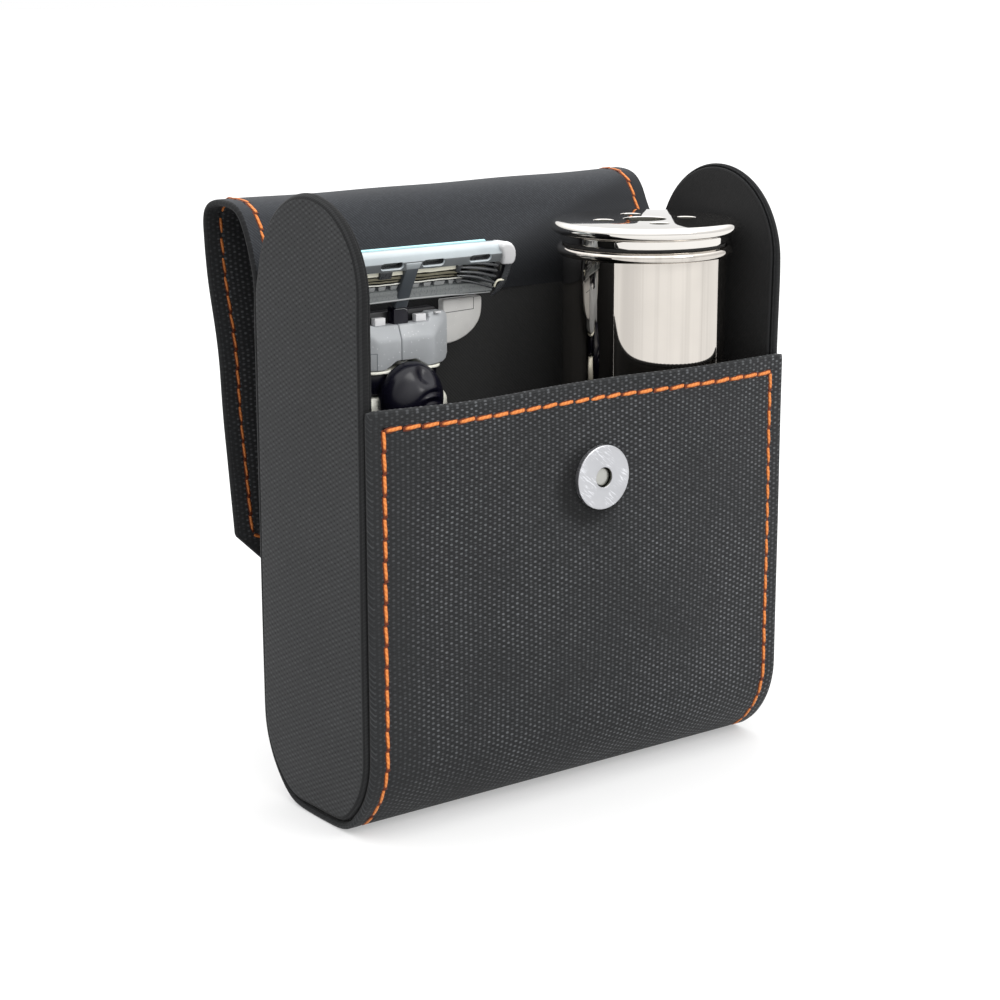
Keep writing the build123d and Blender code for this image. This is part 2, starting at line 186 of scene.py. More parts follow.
# --------------------------------------------------------------- materials
def make_nylon(name, dark, light, contrast=1.0, spec=0.14):
    """Coarse plain weave. "cloth" holds the place on the cloth in mm and, third, how far the weave is pressed flat;
    some pieces also raise this third value as painted shade that dulls the weave.
    """
    n = Nodes(name)
    c = n.xyz(n.attr("cloth"))
    pu, pv = 0.90, 0.445
    w1 = n.math("MULTIPLY", n.math("SUBTRACT", n.noise(260.0, 2.0), 0.5), 1.5)
    w2 = n.math("MULTIPLY", n.math("SUBTRACT", n.noise(210.0, 2.0, vec=n.scaled(n.coord(), (1.0, 1.3, 0.7))), 0.5), 2.2)
    u = n.math("MULTIPLY_ADD", c[0], math.pi / pu, w1)
    v = n.math("MULTIPLY_ADD", c[1], math.pi / pv, w2)
    su, sv = n.math("SINE", u), n.math("SINE", v)
    size = n.math("MULTIPLY", n.math("POWER", n.math("ABSOLUTE", su), 1.9), n.math("POWER", n.math("ABSOLUTE", sv), 0.60))
    s = n.math("MULTIPLY", n.math("SIGN", n.math("MULTIPLY", su, sv)), size)
    cell = n.comb(n.math("FLOOR", n.math("DIVIDE", u, math.pi)), n.math("FLOOR", n.math("DIVIDE", v, math.pi)))
    rand = n.white(cell)
    dots = n.ramp(s, 0.06, 0.86)
    weft = n.ramp(n.math("MULTIPLY", s, -1.0), 0.25, 1.0)
    big = n.ramp(n.noise(55.0, 2.0), 0.30, 0.68, 0.55, 1.0)
    keep = n.math("SUBTRACT", 1.0, c[2], clamp=True)
    amt = n.math("MULTIPLY", n.math("MULTIPLY", dots, n.math("MULTIPLY_ADD", rand, 0.55, 0.40)), n.math("MULTIPLY", big, keep))
    amt = n.math("MULTIPLY", amt, contrast)
    weak = n.math("MULTIPLY", n.math("MULTIPLY", weft, n.math("MULTIPLY_ADD", rand, 0.22, 0.04)), keep)
    # the yarns between two columns of raised ones
    weak = n.math("ADD", weak, n.math("MULTIPLY", n.math("MULTIPLY_ADD", n.math("MULTIPLY", su, su), -0.085, 0.085), keep))
    fib = n.noise(2600.0, 2.0)
    flat = n.math("MULTIPLY", c[2], n.math("MULTIPLY_ADD", fib, 0.16, 0.0))
    pos = n.xyz(n.coord())
    # painted light: the weave's dots and the cloth's tone grow lighter towards +x, standing for light from the right
    painted_light_right = n.ramp(pos[0], 0.0, 0.040)
    amt = n.math("MULTIPLY", amt, n.math("MULTIPLY_ADD", painted_light_right, 0.30, 1.0))
    flat = n.math("MULTIPLY_ADD", painted_light_right, 0.035, flat)
    col = n.mix(n.math("ADD", n.math("ADD", amt, weak), flat, clamp=True), dark, light)
    # painted shadow of the snap on the front: the cloth is darkened in a patch centred a little left of and below the
    # snap
    dx, dz = n.math("ADD", pos[0], 0.0002), n.math("ADD", pos[2], -0.0523)
    r = n.math("SQRT", n.math("ADD", n.math("MULTIPLY", dx, dx), n.math("MULTIPLY", dz, dz)))
    snap_painted_shadow = n.math("MULTIPLY", n.ramp(r, 0.0050, 0.0080, 1.0, 0.0), n.ramp(pos[1], -0.0145, -0.0135, 1.0, 0.0))
    col = n.mix(n.math("MULTIPLY", snap_painted_shadow, 0.78), col, tuple(x * 0.45 for x in dark))
    h = n.math("ADD", n.math("MULTIPLY", n.math("ADD", dots, n.math("MULTIPLY", weft, 0.4)), n.math("MULTIPLY_ADD", keep, 0.85, 0.10)), n.math("MULTIPLY", fib, 0.12))
    n.set(Base_Color=col, Roughness=n.math("MULTIPLY_ADD", amt, -0.10, 0.66), Normal=n.bump(h, 0.00011, 0.65))
    n.bsdf.inputs["Specular IOR Level"].default_value = spec
    n.bsdf.inputs["Sheen Weight"].default_value = 0.02
    n.bsdf.inputs["Sheen Roughness"].default_value = 0.5
    return n.mat


def make_side_nylon(name, hole, mid, light):
    """The same cloth on the side walls, stretched over a board: even, with small dark holes in the weave."""
    n = Nodes(name)
    c = n.xyz(n.attr("cloth"))
    pu, pv = 0.88, 0.425
    w1 = n.math("MULTIPLY", n.math("SUBTRACT", n.noise(240.0, 2.0), 0.5), 1.0)
    w2 = n.math("MULTIPLY", n.math("SUBTRACT", n.noise(200.0, 2.0, vec=n.scaled(n.coord(), (1.0, 1.4, 0.8))), 0.5), 1.6)
    u = n.math("MULTIPLY_ADD", c[0], math.pi / pu, w1)
    v = n.math("MULTIPLY_ADD", c[1], math.pi / pv, w2)
    s = n.math("MULTIPLY", n.math("SINE", u), n.math("SINE", v))
    cell = n.comb(n.math("FLOOR", n.math("DIVIDE", u, math.pi)), n.math("FLOOR", n.math("DIVIDE", v, math.pi)))
    rand = n.white(cell)
    keep = n.math("SUBTRACT", 1.0, c[2], clamp=True)
    dots = n.math("MULTIPLY", n.ramp(s, 0.10, 0.90), n.math("MULTIPLY_ADD", rand, 0.8, 0.3))
    holes = n.math("MULTIPLY", n.ramp(n.math("MULTIPLY", s, -1.0), 0.42, 0.95), n.math("MULTIPLY_ADD", rand, 0.9, 0.45))
    fib = n.noise(2400.0, 2.0)
    big = n.noise(50.0, 2.0)
    f = n.math("ADD", n.math("MULTIPLY", dots, keep), n.math("MULTIPLY", n.math("SUBTRACT", big, 0.5), 0.5), clamp=True)
    col = n.mix(f, mid, light)
    col = n.mix(n.math("MULTIPLY", holes, keep, clamp=True), col, hole)
    col = n.mix(n.math("MULTIPLY", c[2], 0.55), col, hole)
    h = n.math("ADD", n.math("MULTIPLY", n.math("SUBTRACT", dots, holes), n.math("MULTIPLY_ADD", keep, 0.8, 0.1)), n.math("MULTIPLY", fib, 0.25))
    n.set(Base_Color=col, Roughness=0.68, Normal=n.bump(h, 0.00006, 0.6))
    n.bsdf.inputs["Specular IOR Level"].default_value = 0.16
    n.bsdf.inputs["Sheen Weight"].default_value = 0.02
    n.bsdf.inputs["Sheen Roughness"].default_value = 0.5
    return n.mat


def make_lining(name, dark, light):
    """Fine twill."""
    n = Nodes(name)
    c = n.xyz(n.attr("cloth"))
    k = math.pi / 0.30
    a = n.math("SINE", n.math("MULTIPLY", n.math("ADD", c[0], c[1]), k))
    b = n.math("SINE", n.math("MULTIPLY", n.math("SUBTRACT", c[0], c[1]), k * 1.9))
    tw = n.math("ADD", n.math("MULTIPLY", a, 0.7), n.math("MULTIPLY", b, 0.3))
    f = n.ramp(tw, -0.7, 0.9)
    sp = n.noise(1500.0, 3.0, 0.7)
    big = n.noise(60.0, 3.0)
    amt = n.math("ADD", n.math("MULTIPLY", f, n.ramp(sp, 0.35, 0.75, 0.25, 0.9)), n.math("MULTIPLY", n.math("SUBTRACT", big, 0.5), 0.35), clamp=True)
    # the third cloth value darkens the twill: pressed cloth at edges, and painted shadow on the flap's lining
    col = n.mix(c[2], n.mix(amt, dark, light), tuple(x * 0.80 for x in dark))
    h = n.math("ADD", f, n.math("MULTIPLY", sp, 0.5))
    n.set(Base_Color=col, Roughness=0.78, Normal=n.bump(h, 0.00004, 0.5))
    n.bsdf.inputs["Specular IOR Level"].default_value = 0.16
    n.bsdf.inputs["Sheen Weight"].default_value = 0.04
    n.bsdf.inputs["Sheen Roughness"].default_value = 0.45
    return n.mat


def make_thread(name, k=1.0):
    """Two-ply thread. "cloth" holds the place along a stitch (-1 to 1) and around it."""
    n = Nodes(name)
    c = n.xyz(n.attr("cloth"))
    # painted shade: darker at both ends of each stitch, where the thread dips into the cloth
    low = n.ramp(c[0], -1.0, -0.45, 1.0, 0.0)
    high = n.ramp(c[0], 0.80, 1.0)
    ply = n.math("SINE", n.math("MULTIPLY_ADD", c[0], 13.0, n.math("MULTIPLY", c[1], 2.0)))
    fib = n.noise(5200.0, 2.0, vec=n.comb(n.math("MULTIPLY", c[0], 0.0016), n.math("MULTIPLY", c[1], 0.0009), c[2]))
    lit = n.math("ADD", n.math("MULTIPLY", n.ramp(ply, -1.0, 0.9), 0.45), n.math("MULTIPLY", fib, 0.55), clamp=True)
    def c3(*v):
        return tuple(x * k for x in v)

    # painted shade: darker down the thread's sides, lighter over its top
    side = n.ramp(n.math("SINE", n.math("ADD", c[1], 0.12)), 0.20, 0.96)
    col = n.mix(lit, c3(0.46, 0.125, 0.022), c3(0.74, 0.25, 0.062))
    col = n.mix(side, c3(0.095, 0.016, 0.002), col)
    col = n.mix(n.math("MULTIPLY", low, 0.85), col, c3(0.10, 0.016, 0.002))
    col = n.mix(high, col, c3(0.13, 0.022, 0.003))
    n.set(Base_Color=col, Roughness=0.5, Normal=n.bump(n.math("ADD", ply, fib), 0.00003, 0.6))
    n.bsdf.inputs["Specular IOR Level"].default_value = 0.22
    n.bsdf.inputs["Sheen Weight"].default_value = 0.04
    n.bsdf.inputs["Sheen Roughness"].default_value = 0.4
    return n.mat


def make_metal(name, base, rough, streak=False, scratch=0.0, metallic=1.0, var=0.95):
    n = Nodes(name)
    sm = n.noise(130.0, 3.0)
    col = n.mix(n.ramp(sm, 0.3, 0.75), base, tuple(min(1.0, x * var) for x in base))
    if streak:
        line = n.noise(1.0, 3.0, 0.6, vec=n.scaled(n.coord(), (420.0, 420.0, 5.0)))
        col = n.mix(n.ramp(line, 0.38, 0.66), col, tuple(x * 0.80 for x in base))
    r = n.math("MULTIPLY_ADD", n.ramp(sm, 0.45, 0.8), rough * 0.5, rough)
    h = n.noise(90.0, 1.0)
    nor = n.bump(h, 0.000002, 0.4)
    if scratch:
        v = n.xyz(n.coord())
        d = n.math("ADD", n.math("MULTIPLY", v[0], 0.8), v[2])
        e = n.math("SUBTRACT", v[0], n.math("MULTIPLY", v[2], 0.8))
        g = n.noise(1.0, 2.0, 0.6, vec=n.comb(n.math("MULTIPLY", d, 3400.0), n.math("MULTIPLY", e, 420.0), 0.0))
        patch = n.ramp(n.noise(330.0, 1.0), 0.46, 0.62)
        line = n.math("MULTIPLY", n.math("MULTIPLY", n.ramp(g, 0.50, 0.64), patch), scratch)
        col = n.mix(n.math("MULTIPLY", line, 0.8, clamp=True), col, tuple(min(1.0, x * 1.55) for x in base))
        nor = n.bump(g, 0.00001 * scratch, 0.5, nor)
        r = n.math("MULTIPLY_ADD", g, 0.16, r)
    n.set(Base_Color=col, Roughness=r, Normal=nor)
    n.bsdf.inputs["Metallic"].default_value = metallic
    return n.mat


def make_plastic(name, base, rough, fleck=0.0, coat=0.0, tone=0.06, grain=0.3, spec=0.5):
    n = Nodes(name)
    v = n.noise(220.0, 3.0)
    fine = n.noise(3500.0, 2.0)
    col = n.mix(n.ramp(v, 0.3, 0.7), tuple(x * (1 - tone) for x in base), tuple(min(1.0, x * (1 + tone)) for x in base))
    if fleck:
        vor = n.t.nodes.new("ShaderNodeTexVoronoi")
        n.put(vor.inputs["Vector"], n.coord())
        vor.inputs["Scale"].default_value = 2600.0
        sp = n.math("LESS_THAN", vor.outputs["Distance"], 0.15)
        pick = n.math("GREATER_THAN", n.white(n.scaled(vor.outputs["Position"], 100.0)), 0.80)
        col = n.mix(n.math("MULTIPLY", n.math("MULTIPLY", sp, pick), fleck), col, (1.0, 1.0, 1.0))
    n.set(Base_Color=col, Roughness=n.math("MULTIPLY_ADD", fine, 0.08, rough), Normal=n.bump(fine, 0.000012 * grain, 0.5))
    n.bsdf.inputs["Coat Weight"].default_value = coat
    n.bsdf.inputs["Coat Roughness"].default_value = 0.06
    n.bsdf.inputs["Specular IOR Level"].default_value = spec
    return n.mat


def make_handle():
    """Plated handle: mirror bright below; at the shoulders that hold the neck a pale cream non-metal colour, a painted
    reflection.
    """
    n = Nodes("handle_chrome")
    f = n.ramp(n.xyz(n.coord())[2], 0.0590, 0.0655)
    sm = n.noise(130.0, 3.0)
    col = n.mix(f, (0.56, 0.545, 0.515), (0.93, 0.92, 0.82))
    n.set(Base_Color=col, Metallic=n.math("SUBTRACT", 1.0, f), Roughness=n.math("MULTIPLY_ADD", f, 0.10, n.math("MULTIPLY_ADD", sm, 0.05, 0.05)),
          Normal=n.bump(sm, 0.000002, 0.4))
    return n.mat


def make_bristle():
    n = Nodes("bristles")
    v = n.noise(1.0, 3.0, 0.7, vec=n.scaled(n.coord(), (4200.0, 4200.0, 160.0)))
    col = n.mix(n.ramp(v, 0.3, 0.7), (0.10, 0.075, 0.05), (0.78, 0.72, 0.60))
    n.set(Base_Color=col, Roughness=0.5, Normal=n.bump(v, 0.0003, 1.0))
    n.bsdf.inputs["Sheen Weight"].default_value = 0.2
    return n.mat


M = {
    "nylon": make_nylon("black_nylon", (0.0070, 0.0072, 0.0077), (0.107, 0.112, 0.118)),
    # darker copy of the nylon for edges and folds: partly pressed cloth, partly painted shade on edge faces turned from
    # the light
    "nylon_edge": make_nylon("black_nylon_edge_painted_shade", (0.0070, 0.0072, 0.0076), (0.050, 0.052, 0.055), 0.6, 0.10),
    "nylon_side": make_side_nylon("black_nylon_side", (0.0040, 0.0042, 0.0046), (0.0235, 0.0240, 0.0250), (0.050, 0.0515, 0.0535)),
    "lining": make_lining("black_lining", (0.0215, 0.0230, 0.0262), (0.046, 0.0498, 0.0565)),
    # darker copy of the lining for the side walls' inner faces: painted shade inside the case
    "lining_painted_shade": make_lining("black_lining_inside_painted_shade", (0.0120, 0.0120, 0.0123), (0.0185, 0.0186, 0.0192)),
    "lining_bay": make_lining("black_lining_bay", (0.0260, 0.0262, 0.0262), (0.0320, 0.0322, 0.0322)),
    # dark cloth on the side walls' rolled edges: painted shade of the groove there
    "wall_edge_painted_shade": make_lining("wall_edge_painted_shade", (0.0085, 0.0087, 0.0092), (0.0150, 0.0153, 0.0160)),
    "rim": make_lining("wall_rim", (0.016, 0.0163, 0.017), (0.030, 0.0306, 0.032)),
    "thread": make_thread("orange_thread"),
    "thread_dark": make_thread("orange_thread_shaded", 0.62),
    "snap": make_metal("snap_nickel", (0.48, 0.485, 0.505), 0.30, scratch=1.0),
    "pin": make_metal("snap_pin", (0.42, 0.42, 0.395), 0.36, scratch=0.0),
    "chrome": make_metal("mirror_chrome", (0.585, 0.548, 0.505), 0.03, streak=True),
    "chrome_lid": make_metal("mirror_chrome_lid", (0.70, 0.675, 0.64), 0.03),
    "hole": make_metal("hole_wall_painted_shade", (0.10, 0.10, 0.085), 0.25),
    "handle": make_handle(),
    "blade": make_metal("blade_steel", (0.60, 0.60, 0.55), 0.20, scratch=0.6),
    # darker copy of the blade steel: painted shade
    "blade_painted_shade": make_metal("blade_painted_shade", (0.16, 0.15, 0.11), 0.28, scratch=0.8),
    # pale plastic for steel parts: painted reflection
    "cream": make_plastic("pale_steel_painted_reflection", (0.80, 0.78, 0.64), 0.30, spec=0.6),
    "spring": make_metal("spring_steel", (0.5, 0.5, 0.5), 0.3),
    "magnet": make_metal("magnet", (0.10, 0.10, 0.11), 0.5),
    "grey": make_plastic("satin_grey", (0.355, 0.370, 0.385), 0.36, fleck=0.9, coat=0.15),
    "grey_line": make_plastic("grey_seam", (0.15, 0.165, 0.18), 0.5),
    "arm": make_plastic("arm_slate", (0.062, 0.071, 0.080), 0.26, coat=0.25),
    "arm_head": make_plastic("arm_top_painted_light", (0.34, 0.37, 0.385), 0.30, coat=0.2),
    "lobe": make_plastic("lobe_grey", (0.52, 0.515, 0.50), 0.42, fleck=0.3),
    "lobe_line": make_plastic("lobe_seam", (0.10, 0.10, 0.10), 0.5),
    # pale copy of the bar's plastic: painted highlight on its rounded top
    "white": make_plastic("bar_top_painted_highlight", (0.40, 0.445, 0.465), 0.26, coat=0.25),
    "bar_grey": make_plastic("bar_grey", (0.115, 0.125, 0.130), 0.30, coat=0.2, tone=0.15),
    "cap_white": make_plastic("end_cap_white", (0.66, 0.66, 0.67), 0.20, coat=0.3),
    "carrier": make_plastic("carrier_grey", (0.105, 0.115, 0.115), 0.24, coat=0.4, tone=0.08),
    "carrier_light": make_plastic("carrier_light", (0.30, 0.31, 0.31), 0.3, coat=0.3),
    "navy": make_plastic("glossy_navy", (0.0042, 0.0040, 0.0092), 0.21, grain=0.1, spec=0.27),
    "black": make_plastic("black_plastic", (0.010, 0.010, 0.012), 0.28, coat=0.2),
    "rib": make_plastic("rib_grey", (0.055, 0.058, 0.062), 0.24, coat=0.5),
    "strip": make_plastic("pale_strip", (0.36, 0.66, 0.70), 0.45),
    "guard": make_plastic("guard_rubber", (0.05, 0.10, 0.18), 0.6),
    "seal": make_plastic("seal_rubber", (0.02, 0.02, 0.02), 0.7),
    "board": make_plastic("board", (0.12, 0.12, 0.12), 0.8),
    "grip": make_plastic("grip_rubber", (0.02, 0.022, 0.035), 0.55),
    "bristle": make_bristle(),
}


def paint(node, key):
    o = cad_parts[node]
    o.data.materials.clear()
    o.data.materials.append(M[key])


# ----------------------------------------------------------- mesh builders
def add(name, verts, faces, mats, idx=None, cloth=None, angle=38.0, merge=0.0):
    """New object from points in millimetres."""
    me = bpy.data.meshes.new(name)
    me.from_pydata([(x * MM, y * MM, z * MM) for x, y, z in verts], [], faces)
    for m in mats:
        me.materials.append(M[m])
    if idx is not None:
        me.polygons.foreach_set("material_index", idx)
    if cloth is not None:
        a = me.attributes.new("cloth", "FLOAT_VECTOR", "POINT")
        a.data.foreach_set("vector", [c for p in cloth for c in p])
    bm = bmesh.new()
    bm.from_mesh(me)
    if merge:
        bmesh.ops.remove_doubles(bm, verts=bm.verts, dist=merge * MM)
    bmesh.ops.recalc_face_normals(bm, faces=bm.faces)
    bm.to_mesh(me)
    bm.free()
    me.polygons.foreach_set("use_smooth", [True] * len(me.polygons))
    me.set_sharp_from_angle(angle=math.radians(angle))
    me.update()
    o = bpy.data.objects.new(name, me)
    scene.collection.objects.link(o)
    return o


def slab(name, top, bot, uv, mats, k=4, angle=45.0):
    """Closed cloth laminate between two grids of points, with a rounded edge all round.
    mats are those of the top, of the edge and of the bottom."""
    nu, nv = len(top), len(top[0])
    verts, cloth, faces, idx = [], [], [], []
    for g in (top, bot):
        for i in range(nu):
            for j in range(nv):
                verts.append(g[i][j])
                cloth.append(uv(i, j))
    B = nu * nv
    for i in range(nu - 1):
        for j in range(nv - 1):
            a, b, c, d = i * nv + j, (i + 1) * nv + j, (i + 1) * nv + j + 1, i * nv + j + 1
            faces.append((a, b, c, d)); idx.append(0)
            faces.append((B + d, B + c, B + b, B + a)); idx.append(2)
    loop = [(i, 0) for i in range(nu)] + [(nu - 1, j) for j in range(1, nv)]
    loop += [(i, nv - 1) for i in range(nu - 2, -1, -1)] + [(0, j) for j in range(nv - 2, 0, -1)]
    rows = []
    for (i, j) in loop:
        t, b = np.array(top[i][j]), np.array(bot[i][j])
        ii = 1 if i == 0 else (nu - 2 if i == nu - 1 else i)
        jj = 1 if j == 0 else (nv - 2 if j == nv - 1 else j)
        out = (t + b) / 2 - (np.array(top[ii][jj]) + np.array(bot[ii][jj])) / 2
        half = (t - b) / 2
        r = np.linalg.norm(half)
        n = half / r
        out = out - n * (out @ n)
        out = out / np.linalg.norm(out)
        u, v, p = uv(i, j)
        row = [i * nv + j]
        for m in range(1, k):
            a = math.pi * m / k
            q = (t + b) / 2 + n * r * math.cos(a) + out * r * math.sin(a)
            row.append(len(verts))
            verts.append(tuple(q))
            cloth.append((u, v + r * a, max(p, 0.3)))
        row.append(B + i * nv + j)
        rows.append(row)
    L = len(rows)
    for m in range(L):
        p, q = rows[m], rows[(m + 1) % L]
        for e in range(k):
            faces.append((p[e], q[e], q[e + 1], p[e + 1])); idx.append(0 if e < k // 2 else 1)
    return add(name, verts, faces, mats, idx, cloth, angle)


def lathe(name, profile, centre, axis, mats, seg=96, idx_of=None, angle=32.0):
    """Turned piece. profile is (radius, height) pairs along the axis from the centre."""
    axis = Vector(axis).normalized()
    ref = Vector((1, 0, 0)) if abs(axis.x) < 0.9 else Vector((0, 0, 1))
    e1 = (ref - axis * ref.dot(axis)).normalized()
    e2 = axis.cross(e1)
    verts, faces, idx = [], [], []
    for r, h in profile:
        for s in range(seg):
            a = 2 * math.pi * s / seg
            p = Vector(centre) + axis * h + (e1 * math.cos(a) + e2 * math.sin(a)) * r
            verts.append(tuple(p))
    for i in range(len(profile) - 1):
        for s in range(seg):
            t = (s + 1) % seg
            faces.append((i * seg + s, i * seg + t, (i + 1) * seg + t, (i + 1) * seg + s))
            idx.append(idx_of(i) if idx_of else 0)
    if profile[0][0] > 1e-6 and profile[0] != profile[-1]:
        faces.append(tuple(range(seg))[::-1]); idx.append(0)
        faces.append(tuple((len(profile) - 1) * seg + s for s in range(seg))); idx.append(0)
    return add(name, verts, faces, mats, idx, None, angle, merge=0.0005)


def arc_pts(cx, cy, r, a0, a1, n):
    return [(cx + r * math.cos(math.radians(a0 + (a1 - a0) * i / n)), cy + r * math.sin(math.radians(a0 + (a1 - a0) * i / n))) for i in range(n + 1)]


def prism(name, outline, to3, d0, d1, mats, bevel=0.3, segs=3, angle=35.0, warp=None, cuts=()):
    """Extruded outline with rounded rims. to3(a, b, d) gives the point in millimetres.
    warp(a, b, d) moves a finished point; cuts are planes ((a, b, d), (na, nb, nd)) that divide the faces first."""
    bm = bmesh.new()
    vs = [bm.verts.new(Vector((a, b, d0)) * MM) for a, b in outline]
    bm.faces.new(vs)
    ext = bmesh.ops.extrude_face_region(bm, geom=list(bm.faces))
    for g in ext["geom"]:
        if isinstance(g, bmesh.types.BMVert):
            g.co.z = d1 * MM
    bmesh.ops.recalc_face_normals(bm, faces=bm.faces)
    if bevel:
        rim = [e for e in bm.edges if len(e.link_faces) == 2 and e.calc_face_angle() > math.radians(50)]
        bmesh.ops.bevel(bm, geom=rim, offset=bevel * MM, segments=segs, profile=0.5, affect="EDGES", clamp_overlap=True)
    for co, no in cuts:
        bmesh.ops.bisect_plane(bm, geom=list(bm.verts) + list(bm.edges) + list(bm.faces), plane_co=Vector(co) * MM, plane_no=Vector(no))
    for v in bm.verts:
        a, b, d = v.co / MM
        if warp:
            a, b, d = warp(a, b, d)
        v.co = Vector(to3(a, b, d)) * MM
    bmesh.ops.recalc_face_normals(bm, faces=bm.faces)
    me = bpy.data.meshes.new(name)
    bm.to_mesh(me)
    bm.free()
    for m in mats:
        me.materials.append(M[m])
    me.polygons.foreach_set("use_smooth", [True] * len(me.polygons))
    me.set_sharp_from_angle(angle=math.radians(angle))
    o = bpy.data.objects.new(name, me)
    scene.collection.objects.link(o)
    return o


def rod(name, pts, r, mats, seg=8, flat=1.0, to3=None, angle=60.0):
    """Thin round or flattened bar along points; r is one radius or one per point."""
    P = [Vector(to3(*p)) if to3 else Vector(p) for p in pts]
    rs = r if isinstance(r, (list, tuple)) else [r] * len(P)
    V, F = [], []
    ref = None
    for i, p in enumerate(P):
        t = (P[min(i + 1, len(P) - 1)] - P[max(i - 1, 0)]).normalized()
        if ref is None:
            ref = Vector((0, 0, 1)) if abs(t.z) < 0.9 else Vector((0, 1, 0))
        e1 = (ref - t * ref.dot(t)).normalized()
        ref = e1
        e2 = t.cross(e1)
        for m in range(seg):
            a = 2 * math.pi * m / seg
            V.append(tuple(p + e1 * (rs[i] * math.cos(a)) + e2 * (rs[i] * flat * math.sin(a))))
    for i in range(len(P) - 1):
        for m in range(seg):
            F.append((i * seg + m, i * seg + (m + 1) % seg, (i + 1) * seg + (m + 1) % seg, (i + 1) * seg + m))
    F.append(tuple(range(seg))[::-1]); F.append(tuple((len(P) - 1) * seg + m for m in range(seg)))
    return add(name, V, F, mats, None, None, angle)


def curve_through(pts, n=24):
    """Smooth points through a few given ones, with two or three numbers each."""
    P = np.array(pts, float)
    t = np.concatenate([[0], np.cumsum(np.linalg.norm(np.diff(P, axis=0), axis=1))])
    f = spline(t, P)
    return [tuple(f(t[-1] * i / (n - 1))) for i in range(n)]


def spline(t, P):
    """Natural cubic spline through rows of P at t."""
    n = len(t)
    h = np.diff(t)
    A = np.zeros((n, n)); b = np.zeros((n, P.shape[1]))
    A[0, 0] = A[-1, -1] = 1.0
    for i in range(1, n - 1):
        A[i, i - 1], A[i, i], A[i, i + 1] = h[i - 1], 2 * (h[i - 1] + h[i]), h[i]
        b[i] = 6 * ((P[i + 1] - P[i]) / h[i] - (P[i] - P[i - 1]) / h[i - 1])
    m = np.linalg.solve(A, b)

    def f(x):
        k = int(min(max(np.searchsorted(t, x) - 1, 0), n - 2))
        u, v = t[k + 1] - x, x - t[k]
        return (m[k] * u**3 + m[k + 1] * v**3) / (6 * h[k]) + (P[k] / h[k] - m[k] * h[k] / 6) * u + (P[k + 1] / h[k] - m[k + 1] * h[k] / 6) * v

    return f


def stitch_run(pts, normals, width, length, lift=0.02, slant=5.0):
    """Stitches centred on the given points. pts: (centre, tangent) pairs. Returns verts, faces, cloth."""
    V, F, C = [], [], []
    rings, seg = 15, 10
    for (p, t), n in zip(pts, normals):
        p, t, n = Vector(p), Vector(t).normalized(), Vector(n).normalized()
        t = (t - n * t.dot(n)).normalized()
        s = n.cross(t)
        a = math.radians(slant + rnd.uniform(-1.5, 1.5))
        t2 = t * math.cos(a) + s * math.sin(a)
        s2 = n.cross(t2)
        Lh = length / 2 * rnd.uniform(0.98, 1.02)
        seed = rnd.uniform(0, 9)
        # a dark bed round each stitch, coloured as the thread's darkest side: painted shade where the cloth is drawn in
        # round the thread
        base = len(V)
        for i in range(7):
            q = -1 + 2 * i / 6
            for j in range(8):
                b = 2 * math.pi * j / 8
                w0 = (width / 2 + 0.17) * (1 - 0.35 * q * q)
                V.append(tuple(p + t2 * (q * (Lh + 0.06)) + s2 * (w0 * math.cos(b)) + n * (0.05 + 0.07 * math.sin(b))))
                C.append((q, 4.71, seed))
        for i in range(6):
            for j in range(8):
                k = (j + 1) % 8
                F.append((base + i * 8 + j, base + i * 8 + k, base + (i + 1) * 8 + k, base + (i + 1) * 8 + j))
        F.append(tuple(base + j for j in range(8))[::-1])
        F.append(tuple(base + 48 + j for j in range(8)))
        base = len(V)
        wid = width * rnd.uniform(0.95, 1.05)
        for i in range(rings):
            q = -1 + 2 * i / (rings - 1)
            # thin where it comes out of the cloth, full towards the other end
            full = 0.66 + 0.34 * smooth01((q + 1) / 0.9)
            h = lift + 0.05 * (1 - q * q) - 0.30 * max(0.0, -q - 0.72) / 0.28 - 0.42 * max(0.0, q - 0.86) / 0.14
            rw = wid / 2 * full * (1 - 0.22 * max(0.0, q - 0.8) / 0.2)
            rh = rw * 0.78
            for j in range(seg):
                b = 2 * math.pi * j / seg
                ply = 1 + 0.055 * math.cos(2 * b - 6.5 * q + seed)
                V.append(tuple(p + t2 * (q * Lh) + s2 * (rw * ply * math.cos(b)) + n * (h + rh * ply * math.sin(b))))
                C.append((q, b, seed))
        for i in range(rings - 1):
            for j in range(seg):
                k = (j + 1) % seg
                F.append((base + i * seg + j, base + i * seg + k, base + (i + 1) * seg + k, base + (i + 1) * seg + j))
        F.append(tuple(base + j for j in range(seg))[::-1])
        F.append(tuple(base + (rings - 1) * seg + j for j in range(seg)))
    return V, F, C


def spread(line, pitch):
    """Centres and directions of stitches along a polyline of (point, normal)."""
    acc, out = 0.0, []
    total = sum((Vector(line[i + 1][0]) - Vector(line[i][0])).length for i in range(len(line) - 1))
    count = max(1, round(total / pitch))
    step = total / count
    want = step * 0.5
    for i in range(len(line) - 1):
        a, b = Vector(line[i][0]), Vector(line[i + 1][0])
        d = (b - a).length
        while want <= acc + d + 1e-9 and len(out) < count:
            f = (want - acc) / d if d > 0 else 0
            n = Vector(line[i][1]).lerp(Vector(line[i + 1][1]), f)
            out.append((a.lerp(b, f), (b - a).normalized(), n))
            want += step
        acc += d
    return out


